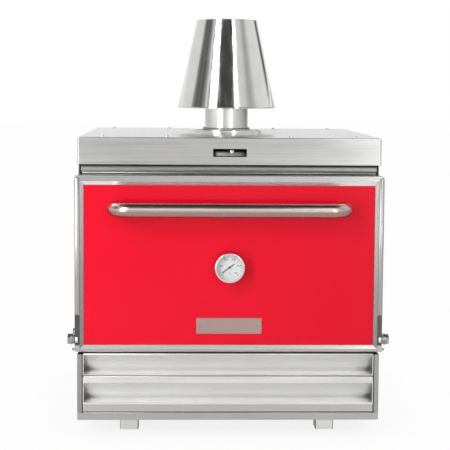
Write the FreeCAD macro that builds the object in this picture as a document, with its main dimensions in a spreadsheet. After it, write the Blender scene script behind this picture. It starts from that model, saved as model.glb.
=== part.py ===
"""Charcoal oven with a drop-down door, a drip tray, an ash drawer, a flue damper and a lift-off hat.

Millimetres, +Z up, the door faces -Y. The origin is on the floor under the middle of the oven's box.
Places are counted across from the middle, back from the door's front face and up from the floor.
"""
import FreeCAD
import Part
import Sketcher
import math
import os
import re

SIZES = {
    # Carcass
    "body_width": 650,
    "body_depth": 533,
    "mouth_setback": 42,
    "cover_setback": 15,
    "lower_setback": 4,
    "sheet_thick": 2,
    "firebox_wall": 5,
    "lagging_thick": 50,
    "side_flange": 10,
    "foot_height": 36,
    "foot_width": 40,
    "foot_wall": 3,
    "foot_round": 4,
    "foot_inset": 110,
    "foot_setback": 50,
    "base_lip": 15,
    # Top cover and the neck under it
    "neck_height": 22,
    "neck_recess": 4,
    "neck_bead": 16,
    "cover_height": 58,
    "cover_round": 3,
    "slot_width": 72,
    "slot_height": 17,
    "slot_rise": 17,
    "cover_screw_inset": 45,
    "cover_screw_edge": 50,
    "cover_screw_inner": 135,
    "screw_head": 10,
    "screw_head_height": 3,
    "screw_shank": 5,
    "screw_clear": 0.25,
    "rail_gap": 3,
    "rail_width": 20,
    "rail_thick": 5,
    "rail_leg": 20,
    # Firebox
    "floor_rise": 5,
    "mouth_sill": 52,
    "mouth_overlap": 20,
    "mouth_lintel": 10,
    "lagging_clear": 4,
    "gasket_width": 12,
    "gasket_gap": 3,
    "gasket_clear": 0.3,
    "ash_hole_margin": 52,
    "ash_hole_inset": 115,
    "chute_clear": 2,
    "guide_leg": 18,
    "guide_thick": 3,
    "guide_reach": 15,
    "guide_inset": 13,
    "floor_rail_leg": 20,
    "floor_rail_inset": 18,
    # Grate and cooking racks
    "grate_side_gap": 18,
    "grate_lap": 40.75,
    "grate_thick": 12,
    "grate_bar": 14,
    "grate_rim": 16,
    "grate_slots": 16,
    "grate_foot": 20,
    "rack_side_gap": 8,
    "rack_front_gap": 38,
    "rack_thick": 8,
    "rack_bar": 6,
    "rack_rim": 10,
    "rack_slots": 25,
    "rack_lower_rise": 105,
    "rack_upper_rise": 205,
    "run_clear": 0.3,
    # Door
    "door_height": 382,
    "door_overlap": 5,
    "door_gap": 4,
    "door_depth": 26,
    "door_face": 4,
    "door_corner": 8,
    "door_edge_round": 1.5,
    "heel_round": 8,
    "heel_chamfer": 8,
    "heel_bar": 12,
    "border_width": 19,
    "border_top": 21,
    "border_bottom": 17,
    "bevel_width": 8,
    "bevel_depth": 3,
    "panel_recess": 2,
    "panel_gap": 0.5,
    "panel_round": 0.8,
    "notch_width": 11,
    "notch_height": 82,
    "liner_thick": 2,
    "plug_depth": 39,
    "plug_clear": 6,
    "plug_round": 6,
    "liner_screw_inset": 25,
    # Door hinges
    "pivot_back": 12,
    "pivot_rise": 28,
    "hinge_bolt": 12,
    "hinge_clear": 0.05,
    "hinge_gap": 0.5,
    "strap_height": 20,
    "strap_thick": 5,
    "strap_length": 148,
    "strap_pad": 100,
    "bolt_head": 19,
    "bolt_head_height": 7.5,
    "washer_width": 24,
    "washer_thick": 2.5,
    "bolt_engage": 10,
    "block_recess": 2,
    "block_chamfer": 9,
    "stop_pin": 5,
    "stop_back": 21,
    "stop_drop": 6.5,
    "stop_slack": 3.5,
    "strap_screw": 8,
    "strap_screw_head": 13,
    "strap_screw_head_height": 5.5,
    # Handle
    "handle_tube": 30,
    "handle_wall": 2,
    "handle_span": 490,
    "handle_standoff": 47,
    "handle_bend": 32,
    "handle_drop": 70,
    "collar_width": 35,
    "collar_thick": 3,
    "collar_clear": 0.2,
    # Thermometer
    "gauge_width": 64,
    "gauge_depth": 19,
    "gauge_wall": 1.5,
    "gauge_neck": 20,
    "gauge_standoff": 11,
    "gauge_rise": 188,
    "gauge_round": 2.5,
    "bezel_width": 4,
    "bezel_thick": 2.5,
    "glass_thick": 1.5,
    "dial_thick": 1,
    "dial_rise": 2,
    "needle_length": 20,
    "needle_tail": 12,
    "needle_width": 1.8,
    "needle_thick": 0.8,
    "needle_hub": 5,
    "needle_pin": 2,
    "needle_lift": 1.2,
    "needle_angle": 234,
    "stem_width": 10,
    "stem_inside": 25,
    "stem_clear": 0.5,
    # Name plate
    "plate_width": 140,
    "plate_height": 34,
    "plate_thick": 1.5,
    "plate_rise": 42,
    "plate_corner": 2,
    "rivet_inset": 8,
    "rivet_head": 6,
    "rivet_height": 1,
    # Drip tray and ash drawer
    "front_gap": 3,
    "front_side_gap": 2,
    "pull_depth": 30,
    "drip_front_height": 46,
    "drip_shelf_rise": 3,
    "drip_depth": 42,
    "drip_pan_length": 94,
    "ash_front_height": 76,
    "ash_lip": 13,
    "ash_face": 20,
    "ash_shelf_rise": 4,
    "ash_depth": 47,
    "ash_pan_length": 449,
    "ash_pan_height": 60,
    "pan_side_gap": 23,
    "drawer_runner_width": 30,
    "drawer_runner_inset": 20,
    "tray_runner_lap": 10,
    "runner_margin": 6,
    # Flue, damper and hat
    "flue_back": 222,
    "flue_bore": 96,
    "flue_wall": 2,
    "collar_wall": 3,
    "collar_flange": 14,
    "roof_clear": 0.3,
    "flue_length": 150,
    "flange_width": 163,
    "flange_height": 12,
    "flange_round": 3,
    "pipe_clear": 0.3,
    "cover_hole_clear": 2,
    "damper_drop": 4,
    "damper_thick": 4,
    "damper_clear": 1.5,
    "damper_back": 85,
    "damper_half_swing": 22,
    "damper_rest": 3,
    "damper_margin": 8,
    "damper_rim": 66,
    "damper_arm": 60,
    "stud_width": 10,
    "stud_clear": 0.05,
    "stud_shoulder": 5,
    "stud_head": 18,
    "tongue_width": 120,
    "tongue_margin": 45,
    "knob_rod": 6,
    "knob_ball": 10,
    "knob_reach": 2,
    "knob_inside": 30,
    "hat_top": 138,
    "hat_bottom": 226,
    "hat_height": 200,
    "hat_wall": 2,
    "hat_rise": 60,
    "spider_height": 20,
    "spider_rise": 30,
    "spider_wall": 2,
    "spider_arm": 3,
    "peg_width": 5,
    "peg_reach": 4,
    "baffle_gap": 24,
    "baffle_thick": 2,
    "baffle_margin": 1,
    "baffle_clear": 0.3,
    "baffle_leg": 2,
    "baffle_leg_width": 12,
    "baffle_leg_lap": 20,
}

PLACES = {
    # Across
    "half_body": "body_width / 2",
    "half_inner": "half_body - sheet_thick",
    "cavity_half": "half_inner - lagging_thick - firebox_wall",
    "firebox_half": "cavity_half + firebox_wall",
    "half_door": "half_body + door_overlap",
    "notch_half": "half_door - notch_width",
    "window_half": "half_door - border_width",
    "plug_half": "cavity_half - plug_clear",
    "front_half": "half_body - side_flange - front_side_gap",
    "pan_half": "half_inner - pan_side_gap",
    "rack_half": "cavity_half - rack_side_gap",
    "grate_half": "cavity_half - grate_side_gap",
    "ash_hole_half": "grate_half - ash_hole_margin",
    "cover_screw_outer": "half_body - cover_screw_edge",
    "foot_middle": "half_body - foot_inset",
    "strap_in": "half_door + hinge_gap",
    "strap_out": "strap_in + strap_thick",
    # Back from the door's front face
    "rear_plane": "mouth_setback + body_depth",
    "handle_reach": "handle_standoff + handle_tube / 2",
    "door_face_place": "(handle_reach - rear_plane) / 2",
    "firebox_front": "mouth_setback + firebox_wall",
    "firebox_rear_out": "rear_plane - sheet_thick - lagging_thick",
    "firebox_rear_in": "firebox_rear_out - firebox_wall",
    "ash_hole_front": "firebox_front + ash_hole_inset",
    "ash_hole_rear": "firebox_rear_in - ash_hole_inset / 2",
    "liner_back": "door_depth + liner_thick",
    "plug_back": "liner_back + plug_depth",
    "drip_rear": "lower_setback + drip_depth",
    "ash_rear": "lower_setback + ash_depth",
    "pull_back": "lower_setback + pull_depth",
    "rack_rear": "firebox_rear_in - guide_inset",
    "rack_front": "plug_back + rack_front_gap",
    "cover_screw_front": "firebox_front + rail_gap + rail_width / 2",
    "cover_screw_rear": "rear_plane - cover_screw_inset",
    # Up from the floor
    "base_top": "foot_height + base_lip",
    "ash_front_low": "base_top + front_gap",
    "ash_front_high": "ash_front_low + ash_front_height",
    "drip_front_low": "ash_front_high + front_gap",
    "drip_front_high": "drip_front_low + drip_front_height",
    "door_low": "drip_front_high + door_gap",
    "door_high": "door_low + door_height",
    "notch_high": "door_low + notch_height",
    "window_low": "door_low + border_bottom",
    "window_high": "door_high - border_top",
    "pivot_up": "door_low + pivot_rise",
    "handle_up": "door_high - handle_drop",
    "gauge_up": "door_low + gauge_rise",
    "floor_low": "door_low + floor_rise",
    "floor_high": "floor_low + firebox_wall",
    "mouth_low": "floor_high + mouth_sill",
    "mouth_high": "door_high - mouth_overlap",
    "roof_low": "mouth_high + mouth_lintel",
    "roof_high": "roof_low + firebox_wall",
    "plug_low": "mouth_low + plug_clear",
    "plug_high": "mouth_high - plug_clear",
    "liner_low": "door_low + liner_thick + heel_chamfer",
    "ash_pan_low": "ash_front_low + sheet_thick",
    "ash_pan_high": "ash_pan_low + ash_pan_height",
    "cover_low": "door_high + neck_height",
    "cover_high": "cover_low + cover_height",
    "cover_under": "cover_high - sheet_thick",
    "slot_low": "cover_low + slot_rise",
    "damper_low": "slot_low + damper_drop",
    "damper_high": "damper_low + damper_thick",
    "neck_low": "door_high + neck_recess",
    "bead_up": "(neck_low + cover_low) / 2",
    "neck_high": "damper_low - stud_shoulder",
    "tongue_low": "neck_high - sheet_thick",
    "lagging_high": "tongue_low - lagging_clear",
    "collar_high": "damper_low - damper_clear",
    "pipe_low": "damper_high + damper_clear",
    "pipe_high": "cover_high + flue_length",
    "hat_low": "cover_high + hat_rise",
    "spider_low": "hat_low + spider_rise",
    # Radii
    "pipe_bore": "flue_bore / 2",
    "pipe_out": "pipe_bore + flue_wall",
    "collar_out": "pipe_bore + collar_wall",
    "spider_bore": "pipe_out + pipe_clear",
    "spider_out": "spider_bore + spider_wall",
    "damper_disc": "pipe_bore + damper_margin",
    "damper_throw": "flue_back - damper_back",
    "damper_turn": "damper_rest + damper_half_swing",
    "gauge_half": "gauge_width / 2",
    "gauge_in": "gauge_half - gauge_wall",
    # Thermometer, from the panel outwards
    "case_back": "panel_recess - gauge_standoff",
    "case_front": "case_back - gauge_depth",
    "case_floor": "case_back - gauge_wall",
    "dial_back": "case_floor - dial_rise",
    "dial_front": "dial_back - dial_thick",
    "needle_back": "dial_front - needle_lift",
    "needle_front": "needle_back - needle_thick",
    "bezel_back": "case_front + bezel_thick",
    "glass_back": "bezel_back + glass_thick",
}

SIDES = ("left", "right")
SIGNS = {"left": "-", "right": ""}
AXIS_TURNS = {
    "across": FreeCAD.Rotation(FreeCAD.Vector(0, 1, 0), 90),
    "back": FreeCAD.Rotation(FreeCAD.Vector(1, 0, 0), -90),
    "up": FreeCAD.Rotation(),
}
PLANES = {"front": "XZ_Plane", "side": "YZ_Plane", "top": "XY_Plane"}
# What each sketch direction adds to a place, because places run back from the door's face
FACE_LEADS = {
    "front": ("", ""),
    "side": ("door_face_place + ", ""),
    "top": ("", "door_face_place + "),
}
# Size of an outline before its constraints take hold
DRAFT_RADIUS = 100
NEAR = 0.01

doc = FreeCAD.newDocument("charcoal_oven")
pieces = []


def fill_sheet():
    """Write every driving size into its own named cell."""
    sheet = doc.addObject("Spreadsheet::Sheet", "Sizes")
    for row, (name, value) in enumerate(SIZES.items(), start=1):
        sheet.set(f"A{row}", str(value))
        sheet.setAlias(f"A{row}", name)
    doc.recompute()


def spell(text):
    """Spell a sum out in the sheet's cells: a size becomes its cell and a place becomes its own sum."""

    def word(found):
        name = found.group(0)
        if name in SIZES:
            return f"Sizes.{name}"
        if name in PLACES:
            return f"({spell(PLACES[name])})"
        return name

    return re.sub(r"[a-z_]+[a-z]", word, text)


def bind(item, prop, text):
    """Bind one property to a sum of sizes and places."""
    item.setExpression(prop, spell(text))


def put(item, across, back, up):
    """Bind where an item's own origin stands."""
    bind(item, "Placement.Base.x", across)
    bind(item, "Placement.Base.y", f"door_face_place + {back}")
    bind(item, "Placement.Base.z", up)


def on_side(side, low, high):
    """A span across the right half, or its mirror image on the left."""
    if side == "right":
        return (low, high)
    return (f"-({high})", f"-({low})")


def both(half):
    """A span that is even about the middle."""
    return (f"-({half})", half)


def span(middle, width):
    """A span of a width about a place."""
    return (f"{middle} - {width} / 2", f"{middle} + {width} / 2")


def box(name, across, back, up):
    """A block between pairs of places."""
    item = doc.addObject("Part::Box", name)
    for side, (low, high) in zip(("Length", "Width", "Height"), (across, back, up)):
        bind(item, side, f"({high}) - ({low})")
    put(item, f"({across[0]})", f"({back[0]})", up[0])
    return item


def rod(name, axis, start, length, radius):
    """A round bar from a start point along one axis."""
    item = doc.addObject("Part::Cylinder", name)
    bind(item, "Radius", radius)
    bind(item, "Height", length)
    item.Placement = FreeCAD.Placement(FreeCAD.Vector(), AXIS_TURNS[axis])
    put(item, *start)
    return item


def cone(name, start, height, low_radius, high_radius):
    """An upright cone from its lower end."""
    item = doc.addObject("Part::Cone", name)
    bind(item, "Radius1", low_radius)
    bind(item, "Radius2", high_radius)
    bind(item, "Height", height)
    put(item, *start)
    return item


def hexagon(name, start, height, flats):
    """A hexagon head that stands along the oven's width, sized across its flats."""
    item = doc.addObject("Part::Prism", name)
    item.Polygon = 6
    bind(item, "Circumradius", f"{flats} / sqrt(3)")
    bind(item, "Height", height)
    item.Placement = FreeCAD.Placement(FreeCAD.Vector(), AXIS_TURNS["across"])
    put(item, *start)
    return item


def fuse(name, items):
    """One solid from items that meet or overlap."""
    item = doc.addObject("Part::MultiFuse", name)
    item.Shapes = items
    item.Refine = True
    return item


def cut(name, base, *tools):
    """A base with one or more tools taken out of it."""
    item = doc.addObject("Part::Cut", name)
    item.Base = base
    item.Tool = tools[0] if len(tools) == 1 else fuse(f"{name}_tools", list(tools))
    item.Refine = True
    return item


def common(name, base, tool):
    """What two items share."""
    item = doc.addObject("Part::Common", name)
    item.Base = base
    item.Tool = tool
    return item


def group(name, items):
    """Separate solids that are kept as one node."""
    item = doc.addObject("Part::Compound", name)
    item.Links = items
    return item


def piece(label, item):
    """Name a finished sub-part and keep it for writing."""
    item.Label = label
    pieces.append(item)
    return item


def pan(name, across, back, up):
    """An open sheet tray: a block with its inside taken out from above."""
    inner_across = (f"{across[0]} + sheet_thick", f"{across[1]} - sheet_thick")
    inner_back = (f"{back[0]} + sheet_thick", f"{back[1]} - sheet_thick")
    inner_up = (f"{up[0]} + sheet_thick", up[1])
    outer = box(f"{name}_outer", across, back, up)
    return cut(name, outer, box(f"{name}_inside", inner_across, inner_back, inner_up))


def body(name):
    """A new empty body."""
    return doc.addObject("PartDesign::Body", name)


def sketch(host, facing, at):
    """An empty sketch on one of the body's own planes, moved along that plane's normal."""
    flat = host.newObject("Sketcher::SketchObject", f"{host.Name}_sketch")
    plane = next(item for item in host.Origin.OriginFeatures if item.Role == PLANES[facing])
    flat.AttachmentSupport = [(plane, "")]
    flat.MapMode = "FlatFace"
    offset = f"-(door_face_place + {at})" if facing == "front" else at
    bind(flat, "AttachmentOffset.Base.z", offset)
    return flat


def outline(host, facing, at, points):
    """A closed outline of straight runs. Its points are (across, up), (back, up) or (across, back)."""
    flat = sketch(host, facing, at)
    count = len(points)
    corners = []
    for number in range(count):
        turn = 2 * math.pi * number / count
        corners.append(FreeCAD.Vector(DRAFT_RADIUS * math.cos(turn), DRAFT_RADIUS * math.sin(turn), 0))
    for number in range(count):
        flat.addGeometry(Part.LineSegment(corners[number], corners[(number + 1) % count]), False)
    for number in range(count):
        flat.addConstraint(Sketcher.Constraint("Coincident", number, 2, (number + 1) % count, 1))
    for number, point in enumerate(points):
        starts = (corners[number].x, corners[number].y)
        for kind, text, start, lead in zip(("DistanceX", "DistanceY"), point, starts, FACE_LEADS[facing]):
            index = flat.addConstraint(Sketcher.Constraint(kind, -1, 1, number, 1, start))
            bind(flat, f"Constraints[{index}]", lead + text)
    return flat


def rectangle(across, up):
    """The four corners of a rectangle between two spans."""
    return [(across[0], up[0]), (across[1], up[0]), (across[1], up[1]), (across[0], up[1])]


def pad(host, flat, length, turned=False):
    """Thicken an outline. Front outlines grow towards the rear when turned."""
    feature = host.newObject("PartDesign::Pad", f"{host.Name}_pad")
    feature.Profile = flat
    feature.Reversed = turned
    bind(feature, "Length", length)
    doc.recompute()
    return feature


def slab(name, facing, at, points, length):
    """A body of one outline, thickened up, to the right or to the rear."""
    host = body(name)
    pad(host, outline(host, facing, at, points), length, turned=facing == "front")
    return host


def round_slab(name, facing, at, centre, radius, length):
    """A body of one circle, thickened like a slab."""
    host = body(name)
    flat = sketch(host, facing, at)
    flat.addGeometry(Part.Circle(FreeCAD.Vector(), FreeCAD.Vector(0, 0, 1), DRAFT_RADIUS), False)
    for kind, text, lead in zip(("DistanceX", "DistanceY"), centre, FACE_LEADS[facing]):
        index = flat.addConstraint(Sketcher.Constraint(kind, -1, 1, 0, 3, DRAFT_RADIUS))
        bind(flat, f"Constraints[{index}]", lead + text)
    index = flat.addConstraint(Sketcher.Constraint("Radius", 0, DRAFT_RADIUS))
    bind(flat, f"Constraints[{index}]", radius)
    pad(host, flat, length, turned=facing == "front")
    return host


def edges(host, wanted):
    """The names of the edges whose ends and middle all pass a test."""
    names = []
    for number, edge in enumerate(host.Shape.Edges, start=1):
        middle = edge.valueAt((edge.FirstParameter + edge.LastParameter) / 2)
        points = [vertex.Point for vertex in edge.Vertexes] + [middle]
        if all(wanted(point) for point in points):
            names.append(f"Edge{number}")
    return names


def soften(host, kind, prop, size, wanted):
    """Round or chamfer the edges of a body that pass a test."""
    doc.recompute()
    feature = host.newObject(f"PartDesign::{kind}", f"{host.Name}_{kind.lower()}")
    feature.Base = (host.Tip if host.Tip != feature else feature.BaseFeature, edges(host, wanted))
    bind(feature, prop, size)
    doc.recompute()
    return feature


def near(value, target):
    """Whether two places are the same within rounding."""
    return abs(value - target) < NEAR


def upright_corners(limits):
    """A test for the four upright corner edges of a block."""

    def wanted(point):
        at_side = near(point.x, limits.XMin) or near(point.x, limits.XMax)
        at_end = near(point.y, limits.YMin) or near(point.y, limits.YMax)
        return at_side and at_end

    return wanted


def pan_head(name, start, facing):
    """The low cone-shaped head of a pan-head screw."""
    head = doc.addObject("Part::Cone", f"{name}_head")
    bind(head, "Radius1", "screw_head / 2")
    bind(head, "Radius2", "screw_head / 2 - screw_head_height / 3")
    bind(head, "Height", "screw_head_height")
    head.Placement = FreeCAD.Placement(FreeCAD.Vector(), AXIS_TURNS[facing])
    put(head, *start)
    return head


def slotted_plate(name, across, back, low, thick, rim, bar, slots):
    """A flat grille: a plate with a row of long slots side by side."""
    host = slab(name, "top", low, rectangle(across, back), thick)
    pitch = f"(({across[1]}) - ({across[0]}) - 2 * {rim} + {bar}) / {slots}"
    first = (f"{across[0]} + {rim}", f"{across[0]} + {rim} + {pitch} - {bar}")
    inside = (f"{back[0]} + {rim}", f"{back[1]} - {rim}")
    opening = outline(host, "top", f"{low} + {thick}", rectangle(first, inside))
    slot = host.newObject("PartDesign::Pocket", f"{name}_slot")
    slot.Profile = opening
    bind(slot, "Length", thick)
    row = host.newObject("PartDesign::LinearPattern", f"{name}_row")
    row.Originals = [slot]
    row.Direction = (opening, ["H_Axis"])
    bind(row, "Length", f"{pitch} * ({slots} - 1)")
    bind(row, "Occurrences", slots)
    host.Tip = row
    doc.recompute()
    return host


def make_base():
    """Feet, base pan, side panels and rear panel."""
    ends = {
        "front": "lower_setback + foot_setback",
        "rear": "rear_plane - foot_setback - foot_width",
    }
    feet = []
    for side in SIDES:
        across = on_side(side, *span("foot_middle", "foot_width"))
        bore_across = (f"{across[0]} + foot_wall", f"{across[1]} - foot_wall")
        for end, start in ends.items():
            back = (start, f"{start} + foot_width")
            bore_back = (f"{start} + foot_wall", f"{start} + foot_width - foot_wall")
            up = ("0", "foot_height")
            post = slab(f"foot_{end}_{side}_post", "top", "0", rectangle(across, back), "foot_height")
            soften(post, "Fillet", "Radius", "foot_round", upright_corners(post.Shape.BoundBox))
            bore = box(f"foot_{end}_{side}_bore", bore_across, bore_back, up)
            feet.append(cut(f"foot_{end}_{side}", post, bore))
    piece("feet", group("feet", feet))

    lower = ("lower_setback", "rear_plane")
    piece("base_pan", pan("base_pan", both("half_body"), lower, ("foot_height", "base_top")))

    for side in SIDES:
        skin = on_side(side, "half_inner", "half_body")
        lip = on_side(side, "half_body - side_flange", "half_body")
        cheek = box(f"cheek_{side}", skin, lower, ("base_top", "drip_front_high"))
        upper = box(f"upper_side_{side}", skin, ("mouth_setback", "rear_plane"),
                    ("drip_front_high", "cover_low"))
        lip_back = ("lower_setback", "lower_setback + sheet_thick")
        flange = box(f"side_lip_{side}", lip, lip_back, ("base_top", "drip_front_high"))
        screw_holes = [
            rod(f"panel_hole_{side}_{number}", "across", (skin[0], back, "pivot_up"), "sheet_thick",
                "strap_screw / 2 + screw_clear")
            for number, back in enumerate(strap_screw_places())
        ]
        panel = fuse(f"side_sheet_{side}", [cheek, upper, flange])
        piece(f"side_panel_{side}", cut(f"side_panel_{side}", panel, *screw_holes))

    rear = ("rear_plane - sheet_thick", "rear_plane")
    piece("rear_panel", box("rear_panel", both("half_inner"), rear, ("base_top", "cover_low")))


def cover_screw_places():
    """Where the top cover is screwed down: four across the front and four across the rear."""
    rows = ("cover_screw_front", "cover_screw_rear")
    columns = ("-cover_screw_outer", "-cover_screw_inner", "cover_screw_inner", "cover_screw_outer")
    return [(across, back) for back in rows for across in columns]


def make_cover():
    """Top cover with its fascia slot, its screws, the rails under it and the neck."""
    across = both("half_body")
    back = ("cover_setback", "rear_plane")
    shell = slab("cover_shell", "top", "cover_low", rectangle(across, back), "cover_height")
    limits = shell.Shape.BoundBox
    corner = upright_corners(limits)
    soften(shell, "Fillet", "Radius", "cover_round", lambda p: corner(p) or near(p.z, limits.ZMax))
    hollow = box("cover_hollow", both("half_inner"),
                 ("cover_setback + sheet_thick", "rear_plane - sheet_thick"), ("cover_low", "cover_under"))
    slot = box("cover_slot", both("slot_width / 2"), ("cover_setback", "cover_setback + sheet_thick"),
               ("slot_low", "slot_low + slot_height"))
    flue_hole = rod("cover_flue_hole", "up", ("0", "flue_back", "cover_under"), "sheet_thick",
                    "pipe_out + cover_hole_clear")
    holes = []
    screws = []
    for number, (x, y) in enumerate(cover_screw_places()):
        holes.append(rod(f"cover_hole_{number}", "up", (x, y, "cover_under"), "sheet_thick",
                         "screw_shank / 2 + screw_clear"))
        shank = rod(f"cover_shank_{number}", "up", (x, y, "cover_under - rail_thick"),
                    "rail_thick + sheet_thick", "screw_shank / 2")
        head = pan_head(f"cover_screw_{number}", (x, y, "cover_high"), "up")
        screws.append(fuse(f"cover_screw_{number}", [shank, head]))
    piece("top_cover", cut("top_cover", shell, hollow, slot, flue_hole, *holes))
    piece("cover_screws", group("cover_screws", screws))

    rails = []
    for end in ("front", "rear"):
        width = span(f"cover_screw_{end}", "rail_width")
        bar = box(f"rail_bar_{end}", both("half_inner"), width, ("cover_under - rail_thick", "cover_under"))
        legs = [
            box(f"rail_leg_{end}_{side}", on_side(side, "half_inner - rail_thick", "half_inner"), width,
                ("cover_low - rail_leg", "cover_under"))
            for side in SIDES
        ]
        bores = [
            rod(f"rail_hole_{end}_{number}", "up", (x, y, "cover_under - rail_thick"), "rail_thick",
                "screw_shank / 2 + screw_clear")
            for number, (x, y) in enumerate(cover_screw_places())
            if y.endswith(end)
        ]
        rails.append(cut(f"rail_{end}", fuse(f"rail_portal_{end}", [bar] + legs), *bores))
    piece("cover_rails", group("cover_rails", rails))

    neck_half = "half_inner - rail_thick"
    neck_back = ("mouth_setback - sheet_thick", "mouth_setback")
    neck = box("neck_sheet", both(neck_half), neck_back, ("neck_low", "neck_high"))
    bar = rod("neck_bead_bar", "across", (f"-({neck_half})", neck_back[0], "bead_up"), f"2 * ({neck_half})",
              "neck_bead / 2")
    bar_front = box("neck_bead_front", both(neck_half), (f"{neck_back[0]} - neck_bead / 2", neck_back[0]),
                    span("bead_up", "neck_bead"))
    bead = common("neck_bead_half", bar, bar_front)
    tongue = box("neck_tongue", both("tongue_width / 2"),
                 (neck_back[0], "damper_back + tongue_margin"), ("tongue_low", "neck_high"))
    piece("upper_front_rail", fuse("upper_front_rail", [neck, bead, tongue]))


def make_firebox():
    """Mouth frame, gasket, firebox plates, lagging and what hangs in the firebox."""
    depth = ("firebox_front", "firebox_rear_out")
    height = ("floor_high", "roof_low")
    lagging_height = ("floor_high", "roof_high")
    frame_back = ("mouth_setback", "firebox_front")
    mouth = box("mouth_hole", both("cavity_half"), frame_back, ("mouth_low", "mouth_high"))
    plate = box("mouth_plate", both("half_inner"), frame_back, ("floor_high", "cover_low"))
    piece("mouth_frame", cut("mouth_frame", plate, mouth))

    seal_back = ("liner_back + gasket_clear", "mouth_setback")
    seal_in = "cavity_half + gasket_gap"
    seal_hole = box("gasket_hole", both(seal_in), seal_back,
                    ("mouth_low - gasket_gap", "mouth_high + gasket_gap"))
    seal_ring = box("gasket_ring", both(f"{seal_in} + gasket_width"), seal_back,
                    ("mouth_low - gasket_gap - gasket_width", "mouth_high + gasket_gap + gasket_width"))
    piece("mouth_gasket", cut("mouth_gasket", seal_ring, seal_hole))

    plates = [
        box(f"firebox_plate_{side}", on_side(side, "cavity_half", "firebox_half"),
            ("firebox_front", "firebox_rear_in"), height)
        for side in SIDES
    ]
    piece("firebox_sides", group("firebox_sides", plates))
    rear = ("firebox_rear_in", "firebox_rear_out")
    piece("firebox_rear", box("firebox_rear", both("firebox_half"), rear, height))
    roof = box("roof_plate", both("firebox_half"), depth, ("roof_low", "roof_high"))
    roof_hole = rod("roof_hole", "up", ("0", "flue_back", "roof_low"), "firebox_wall",
                    "collar_out + roof_clear")
    piece("firebox_roof", cut("firebox_roof", roof, roof_hole))
    hearth = box("floor_plate", both("half_inner"), ("mouth_setback", "rear_plane - sheet_thick"),
                 ("floor_low", "floor_high"))
    ash_hole = box("ash_hole", both("ash_hole_half"), ("ash_hole_front", "ash_hole_rear"),
                   ("floor_low", "floor_high"))
    piece("firebox_floor", cut("firebox_floor", hearth, ash_hole))

    bats = [
        box(f"lagging_{side}", on_side(side, "firebox_half", "half_inner"), depth, lagging_height)
        for side in SIDES
    ]
    piece("insulation_sides", group("insulation_sides", bats))
    piece("insulation_rear", box("insulation_rear", both("half_inner"),
                                 ("firebox_rear_out", "rear_plane - sheet_thick"), lagging_height))
    top_bat = box("lagging_top", both("half_inner - rail_thick - lagging_clear"),
                  ("firebox_front", "rear_plane - sheet_thick"), ("roof_high", "lagging_high"))
    bat_hole = rod("lagging_hole", "up", ("0", "flue_back", "roof_high"), "lagging_high - roof_high",
                   "collar_out + collar_flange + roof_clear")
    piece("insulation_top", cut("insulation_top", top_bat, bat_hole))

    guides = []
    guide_back = ("plug_back + plug_clear", "rack_rear")
    for level in ("lower", "upper"):
        top = f"mouth_low + rack_{level}_rise"
        for side in SIDES:
            ledge_across = on_side(side, "cavity_half - guide_reach", "cavity_half")
            web_across = on_side(side, "cavity_half - guide_thick", "cavity_half")
            ledge = box(f"guide_ledge_{level}_{side}", ledge_across, guide_back,
                        (f"{top} - guide_thick", top))
            web = box(f"guide_web_{level}_{side}", web_across, guide_back, (f"{top} - guide_leg", top))
            guides.append(fuse(f"guide_{level}_{side}", [ledge, web]))
    piece("rack_guides", group("rack_guides", guides))

    grate_across = both("grate_half")
    grate_back = ("ash_hole_front - grate_lap", "ash_hole_rear + grate_lap")
    grate_low = "mouth_low - grate_thick"
    grille = slotted_plate("grate_plate", grate_across, grate_back, grate_low, "grate_thick", "grate_rim",
                           "grate_bar", "grate_slots")
    legs = []
    for side in SIDES:
        leg_across = on_side(side, "grate_half - grate_foot", "grate_half")
        ends = {
            "front": (grate_back[0], f"{grate_back[0]} + grate_foot"),
            "rear": (f"{grate_back[1]} - grate_foot", grate_back[1]),
        }
        for end, leg_back in ends.items():
            legs.append(box(f"grate_leg_{side}_{end}", leg_across, leg_back, ("floor_high", grate_low)))
    piece("fire_grate", fuse("fire_grate", [grille] + legs))


def make_supports():
    """Ash chute, floor rails and the runners under the drawer and the tray."""
    chute_up = ("ash_pan_high + chute_clear", "floor_low")
    outer = box("chute_outer", both("ash_hole_half + sheet_thick"),
                ("ash_hole_front - sheet_thick", "ash_hole_rear + sheet_thick"), chute_up)
    inner = box("chute_inner", both("ash_hole_half"), ("ash_hole_front", "ash_hole_rear"), chute_up)
    piece("ash_chute", cut("ash_chute", outer, inner))

    rail_back = ("mouth_setback + floor_rail_inset", "rear_plane - sheet_thick - floor_rail_inset")
    rails = []
    drawer_bars = []
    ledges = []
    bar_out = "pan_half - drawer_runner_inset"
    for side in SIDES:
        shelf_across = on_side(side, "half_inner - floor_rail_leg", "half_inner")
        web_across = on_side(side, "half_inner - guide_thick", "half_inner")
        bar_across = on_side(side, f"{bar_out} - drawer_runner_width", bar_out)
        ledge_across = on_side(side, "pan_half - tray_runner_lap", "half_inner")
        shelf = box(f"floor_shelf_{side}", shelf_across, rail_back, ("floor_low - guide_thick", "floor_low"))
        web = box(f"floor_web_{side}", web_across, rail_back, ("floor_low - floor_rail_leg", "floor_low"))
        rails.append(fuse(f"floor_rail_{side}", [shelf, web]))
        drawer_bars.append(box(f"drawer_bar_{side}", bar_across, ("ash_rear", "rear_plane - sheet_thick"),
                               ("foot_height + sheet_thick", "ash_pan_low - run_clear")))
        ledges.append(box(f"tray_ledge_{side}", ledge_across,
                          ("drip_rear", "drip_rear + drip_pan_length + runner_margin"),
                          ("drip_front_low - run_clear - sheet_thick", "drip_front_low - run_clear")))
    piece("floor_rails", group("floor_rails", rails))
    piece("drawer_runners", group("drawer_runners", drawer_bars))
    piece("tray_runners", group("tray_runners", ledges))


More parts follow.
